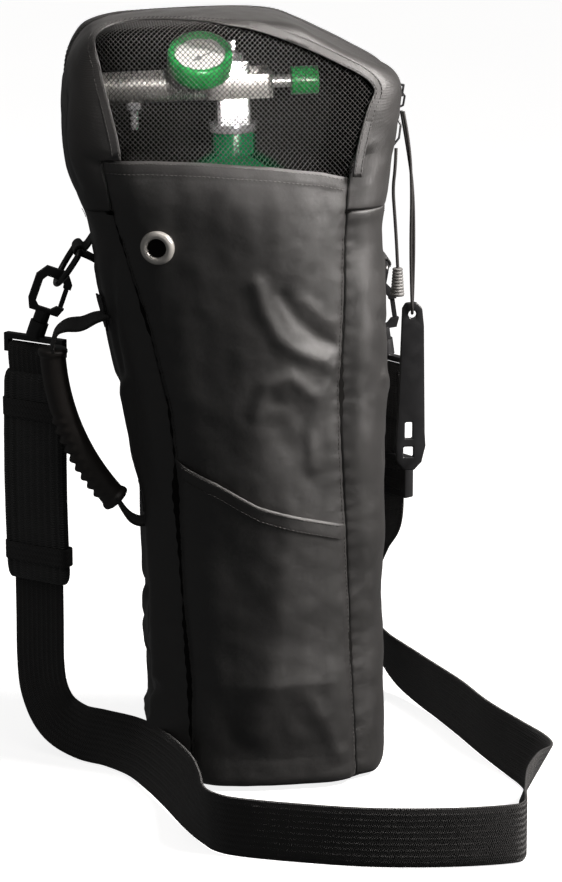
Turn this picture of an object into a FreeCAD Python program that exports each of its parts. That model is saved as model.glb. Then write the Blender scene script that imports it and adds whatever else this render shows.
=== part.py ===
"""Shoulder bag with a portable oxygen cylinder, its post valve and its regulator.

Units are millimetres. +Z is up, +X is the wearer's right when the bag is seen from the front,
and -Y is the front. The origin is on the floor, at the middle of the bag's base.
"""
import FreeCAD, Part
import math
import os

V = FreeCAD.Vector

# ---------------------------------------------------------------- driving dimensions
WALL = 2.5                 # padded fabric wall of the bag
BASE_T = 3.0               # stiffened base
FOLD_Z = 372.0             # the hood hinges forward along this line
ZIP_Y = 10.0               # plane of the zipper that closes the hood
BODY_GAP = 0.3             # clearance between parts that move against each other
SEAM_FRONT_Y = -58.0       # front panel is sewn to the side gussets here
SEAM_BACK_Y = 46.0         # back panel is sewn to the side gussets here
CAP_DEPTH = 7.0            # height of the hood's solid top cap
MESH_SIDE_Y = -42.0        # the mesh wraps round the front corners back to here
MESH_SILL_Z = (401.0, 383.0)     # top of the front panel at the left and at the right

# outline of the bag: height, left, right, front, back
SECTIONS = (
    (0.0, -71.0, 71.0, -80.0, 66.0),
    (12.0, -74.0, 73.0, -80.0, 68.0),
    (100.0, -75.0, 72.0, -71.0, 68.0),
    (183.0, -76.0, 73.0, -71.0, 68.0),
    (237.0, -88.0, 73.5, -71.0, 67.0),
    (303.0, -100.0, 73.0, -71.0, 66.0),
    (358.0, -110.0, 69.0, -71.0, 65.0),
    (FOLD_Z, -114.5, 71.3, -71.0, 65.0),
    (400.0, -125.0, 76.0, -69.0, 64.0),
    (434.0, -127.5, 81.7, -66.0, 62.0),
    (500.0, -127.5, 92.7, -62.0, 56.0),
)
CORNER_FRONT = 42.0        # radius of the bag's front corners in plan
CORNER_BACK = 46.0
# the hood's top edge seen from the front (x, z), left to right
TOP_EDGE = ((-127.5, 440.0), (-125.0, 462.0), (-112.0, 479.0), (-97.0, 485.5), (-62.0, 488.5),
            (-22.0, 491.0), (13.0, 487.0), (42.0, 470.0), (74.0, 455.0), (83.7, 446.0))
# the hood's top seen from the side (y, z), front to back
TOP_SIDE = ((-66.0, 476.0), (-60.0, 487.0), (-40.0, 491.0), (-5.0, 492.0), (28.0, 486.0),
            (50.0, 468.0), (62.0, 440.0))

POCKET_T = 2.5             # cloth of the front pocket
POCKET_FRONT_Y = -80.0
POCKET_LEFT_Z = 211.0      # the pocket's mouth slopes down to the right
POCKET_RIGHT_Z = 166.0
POCKET_X = (-60.0, 50.0)

GROMMET = V(-73.4, 0.0, 352.5)
GROMMET_HOLE_R = 5.8
GROMMET_R = 11.4
GROMMET_RIM_T = 1.6

TANK_R = 55.5
TANK_WALL = 5.0
TANK_BODY_H = 335.0        # straight part of the cylinder
TANK_NECK_Z = 408.0        # top of the neck above the cylinder's own base
TANK_NECK_R = 14.0
NECK_H = 14.0               # straight part of the neck
NECK_BORE_R = 9.5
TANK_BASE = V(-9.0, 1.0, 5.2)
TANK_LEAN = -1.5           # degrees about Y: the cylinder leans to the left in the loose bag

POST_W = 21.6              # square post of the valve
STEM_BORE_R = 3.25
POST_TOP_Z = 453.0         # heights on the valve and regulator are above the cylinder's base
BAR_Z = 438.0              # centre line of the regulator
YOKE_H = 15.0
YOKE_X = (-17.5, 24.5)     # outside of the yoke, from the post's centre
YOKE_Y = 19.0
YOKE_WALL = 5.0
REG_R = 9.9
REG_X = (-86.0, -17.5)
KNOB_X = (-97.0, -86.3)
GAUGE_X = -22.0            # from the post's centre
GAUGE_R = 20.0
GAUGE_TILT = 55.0          # degrees the dial's face looks up from the horizontal
GAUGE_FACE = V(GAUGE_X, -28.0, 463.0)
GAUGE_STEM_R = 4.2
DIAL_DEPTH = 6.5            # the dial lies this far behind the boot's lip
GAUGE_DEPTH = 16.0
BAND = 1.6                 # thickness of the zipper's tape and coil outside the bag

STRAP_W = 38.0
STRAP_T = 1.8
HARDWARE_ROD = 4.0

LEFT_BAR = V(-118.0, 8.0, 338.0)    # straight bar of the left D-ring
LEFT_HANG = V(-0.545, 0.0, -0.838)
RIGHT_BAR = V(82.5, 46.0, 318.0)
RIGHT_HANG = V(-0.17, 0.0, -0.985)
RING_W = 40.0              # D-ring along its bar, outside
RING_D = 27.0              # D-ring from its bar to the bow, between rod centres

os.makedirs("parts", exist_ok=True)
NODES = {}


# ---------------------------------------------------------------- general shapes
def keep(name, shape):
    """Store one finished sub-part under its node name."""
    NODES[name] = shape


def box(x0, y0, z0, x1, y1, z1):
    return Part.makeBox(x1 - x0, y1 - y0, z1 - z0, V(x0, y0, z0))


def rod(a, b, radius):
    return Part.makeCylinder(radius, (b - a).Length, a, b - a)


def polygon_prism(points, direction):
    """A closed polygon swept along a vector."""
    wire = Part.makePolygon(list(points) + [points[0]])
    return Part.Face(wire).extrude(direction)


def unit(vector):
    return FreeCAD.Vector(vector).normalize()


def rounded_wire(left, right, front, back, z, r_front, r_back):
    """A rectangle in plan with round corners, always eight edges, starting at its left side."""
    def corner(cx, cy, radius, start):
        mid, end = start + 45, start + 90
        at = [V(cx + radius * math.cos(math.radians(t)), cy + radius * math.sin(math.radians(t)), z)
              for t in (start, mid, end)]
        return Part.Arc(*at).toShape(), at[0], at[2]
    arcs = [corner(left + r_front, front + r_front, r_front, 180),
            corner(right - r_front, front + r_front, r_front, 270),
            corner(right - r_back, back - r_back, r_back, 0),
            corner(left + r_back, back - r_back, r_back, 90)]
    edges = []
    for i, (arc, _start, end) in enumerate(arcs):
        edges.append(arc)
        edges.append(Part.makeLine(end, arcs[(i + 1) % 4][1]))
    return Part.Wire(edges)


def tube_path(points):
    """Straight runs joined by tangent arcs, each arc as large as its two runs allow."""
    edges, last = [], points[0]
    for a, p, b in zip(points, points[1:], points[2:]):
        u, w = unit(p - a), unit(b - p)
        turn = math.acos(max(-1.0, min(1.0, u.dot(w))))
        back = 0.45 * min((p - a).Length, (b - p).Length)
        radius = back / math.tan(turn / 2)
        start, end = p - u * back, p + w * back
        side = unit(w - u)
        centre = p + side * (radius / math.cos(turn / 2))
        mid = centre - side * radius
        edges.append(Part.makeLine(last, start))
        edges.append(Part.Arc(start, mid, end).toShape())
        last = end
    edges.append(Part.makeLine(last, points[-1]))
    return Part.Wire(edges)


def round_tube(points, radius):
    """A round cord or rod along a path of runs and arcs."""
    path = tube_path(points)
    profile = Part.Wire(Part.makeCircle(radius, points[0], points[1] - points[0]))
    return path.makePipeShell([profile], True, False)


def upright_slab(centre, across, half_w, half_t, z0, z1):
    """A vertical plate seen in plan: centred on a point, with its width along a direction."""
    w = unit(across) * half_w
    n = unit(across.cross(V(0, 0, 1))) * half_t
    base = V(centre.x, centre.y, z0)
    return polygon_prism([base - w - n, base + w - n, base + w + n, base - w + n], V(0, 0, z1 - z0))


def ribbon_sections(stations, width, thickness):
    """Cross-sections of a flat webbing at stations of (centre, direction across the width)."""
    sections, last = [], len(stations) - 1
    for i, (centre, across) in enumerate(stations):
        ahead = stations[min(i + 1, last)][0] - stations[max(i - 1, 0)][0]
        w = unit(across) * (width / 2)
        n = unit(ahead.cross(w)) * (thickness / 2)
        corners = [centre - w - n, centre + w - n, centre + w + n, centre - w + n]
        sections.append(Part.makePolygon(corners + [corners[0]]))
    return sections


# ---------------------------------------------------------------- the bag's shell
def bag_form(inset):
    """The whole bag as one closed form, shrunk by an inset (negative grows it)."""
    wires = [rounded_wire(left + inset, right - inset, front + inset, back - inset, z,
                          CORNER_FRONT - inset, CORNER_BACK - inset)
             for z, left, right, front, back in SECTIONS]
    form = Part.makeLoft(wires, True, True)
    far = 400.0
    edge = [V(x, -far / 2, z - inset) for x, z in TOP_EDGE]
    edge = [V(-200, -far / 2, -1), V(-200, -far / 2, edge[0].z)] + edge
    edge += [V(200, -far / 2, edge[-1].z), V(200, -far / 2, -1)]
    side = [V(-far / 2, y, z - inset) for y, z in TOP_SIDE]
    side = [V(-far / 2, -200, -1), V(-far / 2, -200, side[0].z)] + side
    side += [V(-far / 2, 200, side[-1].z), V(-far / 2, 200, -1)]
    form = form.common(polygon_prism(edge, V(0, far, 0)))
    return form.common(polygon_prism(side, V(far, 0, 0)))


def sill_cutter():
    """Everything below the sloping sill of the mesh window."""
    left, right = MESH_SILL_Z
    points = [V(-200, -100, 0), V(-200, -100, left), V(-30, -100, left), V(60, -100, right),
              V(200, -100, right), V(200, -100, 0)]
    return polygon_prism(points, V(0, 200, 0))


OUTER = bag_form(0.0)
INNER = bag_form(WALL)
SHELL = OUTER.cut(INNER)
BIG = 250.0


def front_of(y, z0=-1.0, z1=BIG * 2):
    return box(-BIG, -BIG, z0, BIG, y, z1)


def behind(y, z0=-1.0, z1=BIG * 2):
    return box(-BIG, y, z0, BIG, BIG, z1)


def left_half(shape):
    return shape.common(box(-BIG, -BIG, -1, -20, BIG, BIG * 2))


def right_half(shape):
    return shape.common(box(-20, -BIG, -1, BIG, BIG, BIG * 2))


def make_bag_panels():
    base = OUTER.common(box(-BIG, -BIG, 0, BIG, BIG, BASE_T))
    keep("base_panel", base)
    wall = SHELL.common(box(-BIG, -BIG, BASE_T, BIG, BIG, FOLD_Z - BODY_GAP))
    front = wall.common(front_of(SEAM_FRONT_Y))
    back_low = wall.common(behind(SEAM_BACK_Y))
    sides = wall.common(box(-BIG, SEAM_FRONT_Y, 0, BIG, SEAM_BACK_Y, BIG * 2))
    back_high = SHELL.common(behind(ZIP_Y + BODY_GAP / 2, FOLD_Z - BODY_GAP))
    # The pocket bulges at the foot of the bag, so the front panel stands a little inside it there.
    foot = box(-BIG, -BIG, BASE_T, BIG, POCKET_FRONT_Y + POCKET_T + 5.0, 100.0)
    hole = rod(V(GROMMET.x, -BIG, GROMMET.z), V(GROMMET.x, 0, GROMMET.z), GROMMET_HOLE_R)
    keep("front_panel", front.cut(foot).cut(hole))
    keep("gusset_left", left_half(sides))
    keep("gusset_right", right_half(sides))
    keep("back_panel", back_low.fuse(back_high).removeSplitter())


def make_pocket():
    """A flat patch pocket whose front stands clear of the bag, open at its sloping mouth."""
    x0, x1 = POCKET_X
    front_y, wall_y = POCKET_FRONT_Y, -71.0

    def slab(side, y0, y1, drop):
        points = [V(x0 + side, y0, BASE_T), V(x0 + side, y0, POCKET_LEFT_Z - drop),
                  V(x1 - side, y0, POCKET_RIGHT_Z - drop), V(x1 - side, y0, BASE_T)]
        return polygon_prism(points, V(0, y1 - y0, 0))
    shell = slab(0.0, front_y, wall_y + 1.5, 0.0)
    room = slab(POCKET_T, front_y + POCKET_T, wall_y + 1.5, -9.0)
    keep("front_pocket", shell.cut(room).cut(INNER).cut(NODES["front_panel"]).cut(SHELL))


def make_grommet():
    y = -71.0
    axis = V(0, 1, 0)
    at = V(GROMMET.x, y - GROMMET_RIM_T, GROMMET.z)
    near = Part.makeCylinder(GROMMET_R, GROMMET_RIM_T + 6, at, axis)
    near = near.cut(Part.makeCylinder(GROMMET_HOLE_R, 40, at - axis * 5, axis))
    keep("grommet", near.cut(OUTER))
    washer_at = V(GROMMET.x, y + WALL, GROMMET.z)
    washer = Part.makeCylinder(GROMMET_R, 12.0, washer_at, axis).common(INNER.cut(bag_form(WALL + 1.0)))
    keep("grommet_washer", washer.cut(Part.makeCylinder(GROMMET_HOLE_R, 40, at, axis)))


def make_hood():
    hood = SHELL.common(box(-BIG, -BIG, FOLD_Z, BIG, ZIP_Y - BODY_GAP / 2, BIG * 2))
    edge = [V(x, -BIG, z - CAP_DEPTH) for x, z in TOP_EDGE]
    edge = [V(-BIG, -BIG, 0), V(-BIG, -BIG, edge[0].z)] + edge
    edge += [V(BIG, -BIG, edge[-1].z), V(BIG, -BIG, 0)]
    under = polygon_prism(edge, V(0, 2 * BIG, 0))
    sill = sill_cutter()
    keep("hood_top", hood.cut(under))
    lower = hood.common(under)
    front = lower.common(front_of(MESH_SIDE_Y))
    keep("hood_front_strip", front.common(sill))
    keep("mesh_window", front.cut(sill))
    sides = lower.common(behind(MESH_SIDE_Y))
    keep("hood_side_left", left_half(sides))
    keep("hood_side_right", right_half(sides))


def make_zipper():
    """Tape and coil on each side of the closing plane, a band round the outside of the shell."""
    band = bag_form(-BAND).cut(OUTER)
    band = band.common(box(-BIG, -BIG, FOLD_Z + 2, BIG, BIG, BIG * 2))
    keep("zipper_fixed_side", band.common(box(-BIG, ZIP_Y + 0.25, 0, BIG, ZIP_Y + 5, BIG * 2)))
    keep("zipper_hood_side", band.common(box(-BIG, ZIP_Y - 5, 0, BIG, ZIP_Y - 0.25, BIG * 2)))


# ---------------------------------------------------------------- cylinder, valve and regulator
def placed(shape):
    """Cylinder coordinates to the bag's: lean about Y, then stand on the base."""
    shape = shape.copy()
    shape.rotate(V(0, 0, 0), V(0, 1, 0), TANK_LEAN)
    shape.translate(TANK_BASE)
    return shape


def revolved(points_and_arcs):
    """A solid turned about Z from a closed outline in X and Z."""
    edges = []
    for item in points_and_arcs:
        if len(item) == 2:
            edges.append(Part.makeLine(V(item[0][0], 0, item[0][1]), V(item[1][0], 0, item[1][1])))
        else:
            edges.append(Part.Arc(*[V(r, 0, z) for r, z in item]).toShape())
    return Part.Face(Part.Wire(edges)).revolve(V(0, 0, 0), V(0, 0, 1), 360)


def make_tank():
    r, w, h, neck = TANK_R, TANK_WALL, TANK_BODY_H, TANK_NECK_R
    dome = TANK_NECK_Z - NECK_H
    outline = [
        ((0, 0), (r - 12, 0)),
        ((r - 12, 0), (r - 3.5, 3.5), (r, 12)),
        ((r, 12), (r, h)),
        ((r, h), (r * 0.74, h + 38.0), (neck, dome)),
        ((neck, dome), (neck, TANK_NECK_Z)),
        ((neck, TANK_NECK_Z), (NECK_BORE_R, TANK_NECK_Z)),
        ((NECK_BORE_R, TANK_NECK_Z), (NECK_BORE_R, dome - w)),
        ((NECK_BORE_R, dome - w), (r * 0.74 - w * 0.8, h + 33.5), (r - w, h)),
        ((r - w, h), (r - w, 14)),
        ((r - w, 14), (r - w - 2.0, 9.5), (r - w - 8, 8)),
        ((r - w - 8, 8), (0, 8)),
        ((0, 8), (0, 0)),
    ]
    keep("oxygen_cylinder", placed(revolved(outline)))


def make_valve():
    z0 = TANK_NECK_Z
    shank = Part.makeCylinder(NECK_BORE_R, 18, V(0, 0, z0 - 18))
    collar = Part.makeCylinder(TANK_NECK_R + 1.5, 5, V(0, 0, z0))
    post = box(-POST_W / 2, -POST_W / 2, z0 + 5, POST_W / 2, POST_W / 2, POST_TOP_Z)
    upright = [e for e in post.Edges if abs(e.Vertexes[0].Z - e.Vertexes[1].Z) > 10]
    post = post.makeFillet(2.5, upright)
    body = shank.fuse(collar).fuse(post).removeSplitter()
    stem_bore = Part.makeCylinder(STEM_BORE_R, 20, V(0, 0, POST_TOP_Z - 12))
    outlet = rod(V(-POST_W / 2 - 1, 0, BAR_Z), V(-2, 0, BAR_Z), 3.5)
    dimple = Part.makeCone(0, 4.0, 3.0, V(POST_W / 2 - 3.0, 0, BAR_Z), V(1, 0, 0))
    keep("valve_body", placed(body.cut(stem_bore).cut(outlet).cut(dimple)))
    nut = Part.makeCylinder(8.0, 5.0, V(0, 0, POST_TOP_Z)).cut(
        Part.makeCylinder(STEM_BORE_R, 20, V(0, 0, POST_TOP_Z - 12)))
    keep("packing_nut", placed(nut))
    stem = Part.makeCylinder(3.2, 23.5, V(0, 0, POST_TOP_Z - 11.5))
    flats = box(-10, 2.2, POST_TOP_Z + 6, 10, 10, POST_TOP_Z + 30)
    stem = stem.cut(flats).cut(flats.mirror(V(0, 0, 0), V(0, 1, 0)))
    keep("valve_stem", placed(stem))
    plug = rod(V(4, POST_W / 2, z0 + 12), V(4, POST_W / 2 + 4, z0 + 12), 3.6)
    keep("safety_plug", placed(plug))


def make_regulator():
    x0, x1 = YOKE_X
    z0, z1 = BAR_Z - YOKE_H / 2, BAR_Z + YOKE_H / 2
    yoke = box(x0, -YOKE_Y, z0, x1, YOKE_Y, z1)
    inner_y = YOKE_Y - YOKE_WALL
    yoke = yoke.cut(box(x0 + YOKE_WALL, -inner_y, z0 - 1, x1 - YOKE_WALL, inner_y, z1 + 1))
    corners = [e for e in yoke.Edges if abs(e.Vertexes[0].Z - e.Vertexes[-1].Z) > 10
               and abs(e.Vertexes[0].Y) > YOKE_Y - 1]
    yoke = yoke.makeFillet(4.0, corners)
    yoke = yoke.cut(rod(V(x1 - 10, 0, BAR_Z), V(x1 + 1, 0, BAR_Z), 4.05))
    nipple = rod(V(x0 + YOKE_WALL - 1, 0, BAR_Z), V(-POST_W / 2 - 1.2, 0, BAR_Z), 3.0)
    keep("yoke", placed(yoke.fuse(nipple).removeSplitter()))
    washer = rod(V(-POST_W / 2 - 1.2, 0, BAR_Z), V(-POST_W / 2, 0, BAR_Z), 6.0)
    keep("inlet_washer", placed(washer.cut(rod(V(-30, 0, BAR_Z), V(0, 0, BAR_Z), 2.0))))

    end = x1 + 13.0
    screw = rod(V(POST_W / 2 + 2.0, 0, BAR_Z), V(end + 8, 0, BAR_Z), 4.0)
    screw = screw.fuse(Part.makeCone(2.0, 4.0, 1.6, V(POST_W / 2 + 0.4, 0, BAR_Z), V(1, 0, 0)))
    keep("yoke_screw", placed(screw))
    cap = rod(V(end, 0, BAR_Z), V(end + 17, 0, BAR_Z), 8.8).cut(
        rod(V(end - 1, 0, BAR_Z), V(end + 8, 0, BAR_Z), 4.0))
    keep("yoke_screw_knob", placed(cap))

    body = rod(V(REG_X[0], 0, BAR_Z), V(REG_X[1], 0, BAR_Z), REG_R)
    body = body.cut(rod(V(REG_X[0] - 1, 0, BAR_Z), V(REG_X[0] + 9, 0, BAR_Z), 3.55))
    facing = gauge_axis()
    stem_foot = V(GAUGE_X, 0, BAR_Z - 6.0)
    stem = rod(stem_foot, GAUGE_FACE - facing * (GAUGE_DEPTH - 2.0), GAUGE_STEM_R)
    body = body.fuse(stem)
    back_face = GAUGE_FACE - facing * (GAUGE_DEPTH - 2.0)
    body = body.cut(rod(back_face, back_face + facing * 30, 30)).removeSplitter()
    keep("regulator_body", placed(body))

    knob = rod(V(KNOB_X[0], 0, BAR_Z), V(KNOB_X[1], 0, BAR_Z), REG_R + 0.7)
    shaft = rod(V(KNOB_X[1], 0, BAR_Z), V(REG_X[0] + 8, 0, BAR_Z), 3.5)
    keep("flow_knob", placed(knob.fuse(shaft).removeSplitter()))

    barb_x = -62.0
    barb = rod(V(barb_x, 0, BAR_Z - REG_R + 1.0), V(barb_x, 0, BAR_Z - REG_R - 17), 2.2)
    for step in range(3):
        top = BAR_Z - REG_R - 5.0 - 4.0 * step
        barb = barb.fuse(Part.makeCone(3.2, 2.3, 3.5, V(barb_x, 0, top), V(0, 0, -1)))
    barb = barb.fuse(rod(V(barb_x, 0, BAR_Z - REG_R + 1.0), V(barb_x, 0, BAR_Z - REG_R - 4), 5.0))
    barb = barb.cut(body)
    barb = barb.cut(rod(V(barb_x, 0, BAR_Z), V(barb_x, 0, BAR_Z - 40), 1.2))
    keep("outlet_barb", placed(barb.removeSplitter()))


def gauge_axis():
    tilt = math.radians(GAUGE_TILT)
    return V(0, -math.cos(tilt), math.sin(tilt))


def make_gauge():
    n = gauge_axis()
    face = GAUGE_FACE

    def disc(depth0, depth1, radius):
        return rod(face - n * depth1, face - n * depth0, radius)
    case_r = GAUGE_R - 2.5
    room_r, back = case_r - 1.5, GAUGE_DEPTH - 2.0
    case = disc(3.0, back, case_r).cut(disc(2.0, DIAL_DEPTH + 0.6, room_r))
    keep("gauge_case", placed(case))
    boot = disc(0.0, GAUGE_DEPTH, GAUGE_R).cut(disc(3.0, back, case_r))
    boot = boot.cut(disc(-1.0, 3.5, room_r)).cut(disc(back - 1.0, GAUGE_DEPTH + 1, 9.0))
    keep("gauge_boot", placed(boot))
    keep("gauge_dial", placed(disc(DIAL_DEPTH, DIAL_DEPTH + 0.6, room_r)))
    side, up = V(1, 0, 0), n.cross(V(1, 0, 0))
    middle = face - n * (DIAL_DEPTH - 0.5)
    tip, tail = middle + side * 9.0 + up * 6.0, middle - side * 3.0 - up * 2.0
    wide = unit(n.cross(tip - tail)) * 0.5
    blade = polygon_prism([tail - wide, tip - wide * 0.4, tip + wide * 0.4, tail + wide], n * 0.4)
    hub = disc(DIAL_DEPTH - 1.3, DIAL_DEPTH - 0.3, 1.6)
    needle = blade.fuse(hub).cut(disc(DIAL_DEPTH - 2.4, DIAL_DEPTH, 0.62))
    keep("gauge_needle", placed(needle.removeSplitter()))
    pane = disc(DIAL_DEPTH - 3.2, DIAL_DEPTH - 2.0, room_r)
    keep("gauge_lens", placed(pane.fuse(disc(DIAL_DEPTH - 2.9, DIAL_DEPTH, 0.6)).removeSplitter()))


# ---------------------------------------------------------------- rings, hooks and strap hardware
def d_ring(bar, hang):
    """A wire D: a straight bar along Y, two round corners and a half-round bow that hangs from it."""
    r = HARDWARE_ROD / 2
    half = RING_W / 2 - r
    corner = 5.0
    down = unit(hang)
    across = V(0, 1, 0)
    axis = across.cross(down)
    drop = down * (RING_D - half)

    def turned(start, normal, centre, turn):
        return Part.Face(Part.Wire(Part.makeCircle(r, start, normal))).revolve(centre, axis, turn)
    reach = across * (half - corner)
    ring = rod(bar - reach, bar + reach, r)
    for side, turn in ((1, 90), (-1, -90)):
        bend = bar + reach * side
        ring = ring.fuse(turned(bend, across, bend + down * corner, turn))
        leg = bar + across * (half * side)
        ring = ring.fuse(rod(leg + down * corner, leg + drop, r))
    ring = ring.fuse(turned(bar + across * half + drop, down, bar + drop, 180))
    return ring.removeSplitter()


HOOK_T = 5.0               # thickness of the hook's moulding
EYE_H = 21.0               # height of the hook's eye
EYE_HALF = 7.0
HOOK_HALF = 12.0
STALK_R, BUTTON_R, TURN_FIT = 2.4, 3.6, 0.06
LEFT_ACROSS = V(0.788, -0.616, 0)
RIGHT_ACROSS = V(0.56, -0.83, 0)
LEFT_FOOT, LEFT_TOP = V(-143.5, 8, 290.5), V(-131.4, 8, 324.5)
RIGHT_FOOT, RIGHT_TOP = V(83.2, 46, 265.3), V(77.9, 46, 301.3)


def hook_axes(foot, top):
    """The hook's long axis from the swivel to the eye, and the direction across its eye."""
    axis = unit(top - foot)
    return axis, unit(V(0, 1, 0).cross(axis))


def hook_places():
    return (("left", LEFT_FOOT, hook_axes(LEFT_FOOT, LEFT_TOP)[0], LEFT_ACROSS),
            ("right", RIGHT_FOOT, hook_axes(RIGHT_FOOT, RIGHT_TOP)[0], RIGHT_ACROSS))


def snap_hook(foot, top):
    """The moulded hook: an eye with one side open for the gate, on a round swivel neck."""
    axis, side = hook_axes(foot, top)
    thick = V(0, HOOK_T, 0)

    def at(u, v):
        return foot + side * u + axis * v - thick * 0.5
    length = (top - foot).Length
    low = length - 5.5 - EYE_H
    outer = [at(-9.5, low - 3), at(-HOOK_HALF, low + 3), at(-HOOK_HALF, length - 7), at(-7, length),
             at(7, length), at(HOOK_HALF, length - 7), at(HOOK_HALF, low + 3), at(9.5, low - 3)]
    inner = [at(-EYE_HALF, low + 3), at(-EYE_HALF, length - 9), at(-5, length - 6), at(5, length - 6),
             at(EYE_HALF, length - 9), at(EYE_HALF, length - 10.5), at(HOOK_HALF + 1, length - 10.5),
             at(HOOK_HALF + 1, low + 3), at(EYE_HALF, low + 3), at(4, low), at(-4, low)]
    frame = polygon_prism(outer, thick).cut(polygon_prism(inner, thick))
    neck = rod(foot + axis * 0.3, foot + axis * (low - 2), 5.0)
    stalk = rod(foot - axis * 7.5, foot + axis * 2.0, STALK_R)
    button = rod(foot - axis * 7.5, foot - axis * 6.0, BUTTON_R)
    frame = frame.fuse(neck).fuse(stalk).fuse(button).removeSplitter()
    wide = side * 1.5
    a, b = foot + side * 9.4 + axis * (low + 3.4), foot + side * 9.4 + axis * (length - 10.9)
    t = V(0, 1.2, 0)
    gate = polygon_prism([a - wide - t, b - wide - t, b + wide - t, a + wide - t], t * 2)
    return frame, gate


LOOP_Z = (-8.5, 3.5)       # strap loop of the swivel base, about its own centre
SLOT_Z = (-5.0, 0.0)


def loop_centre(foot, axis):
    return foot - axis * 9.5 - V(0, 0, 3.8)


def swivel_base(foot, axis, across):
    """The strap loop of the hook: a frame with a long slot, and a socket for the swivel stalk."""
    c = loop_centre(foot, axis)
    frame = upright_slab(c, across, 23.0, 2.5, c.z + LOOP_Z[0], c.z + LOOP_Z[1])
    slot = upright_slab(c, across, 19.6, 8.0, c.z + SLOT_Z[0], c.z + SLOT_Z[1])
    socket = rod(foot - axis * 10.5, foot, 6.0)
    room = rod(foot - axis * 7.9, foot - axis * 5.6, BUTTON_R + TURN_FIT)
    room = room.fuse(rod(foot - axis * 7.0, foot + axis, STALK_R + TURN_FIT))
    return frame.fuse(socket).cut(slot).cut(room).removeSplitter()


def strap_eye(foot, axis, across):
    """The end of the strap, folded round the lower bar of the swivel base and sewn to itself."""
    c = loop_centre(foot, axis)
    low, high = c.z + LOOP_Z[0], c.z + SLOT_Z[0]
    fold = upright_slab(c, across, STRAP_W / 2, 2.7 + STRAP_T, low - 0.2 - STRAP_T, high + 0.2 + STRAP_T)
    room = upright_slab(c, across, STRAP_W, 2.7, low - 0.2, high + 0.2)
    tail = upright_slab(c, across, STRAP_W / 2, STRAP_T, low - 8.0, low - 0.2 - STRAP_T / 2)
    return fold.cut(room).fuse(tail)


def make_hardware():
    keep("d_ring_left", d_ring(LEFT_BAR, LEFT_HANG))
    keep("d_ring_right", d_ring(RIGHT_BAR, RIGHT_HANG))
    for name, foot, axis, across in hook_places():
        frame, gate = snap_hook(foot, LEFT_TOP if name == "left" else RIGHT_TOP)
        keep(f"snap_hook_{name}", frame)
        keep(f"hook_gate_{name}", gate)
        keep(f"swivel_base_{name}", swivel_base(foot, axis, across))
    tabs = [ring_tab(LEFT_BAR, -1), ring_tab(RIGHT_BAR, 1)]
    keep("ring_tabs", Part.makeCompound(tabs))


def ring_tab(bar, outward):
    """A webbing tab sewn to the gusset, looped round the bar of the D-ring."""
    r = HARDWARE_ROD / 2 + 0.3
    half = 12.5
    loop = rod(bar + V(0, -half, 0), bar + V(0, half, 0), r + 1.6)
    tongue = box(min(bar.x, bar.x - outward * 22), bar.y - half, bar.z - r - 1.6,
                 max(bar.x, bar.x - outward * 22), bar.y + half, bar.z - r + 0.6)
    tab = loop.fuse(tongue).cut(rod(bar + V(0, -30, 0), bar + V(0, 30, 0), r))
    return tab.cut(OUTER)


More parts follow.
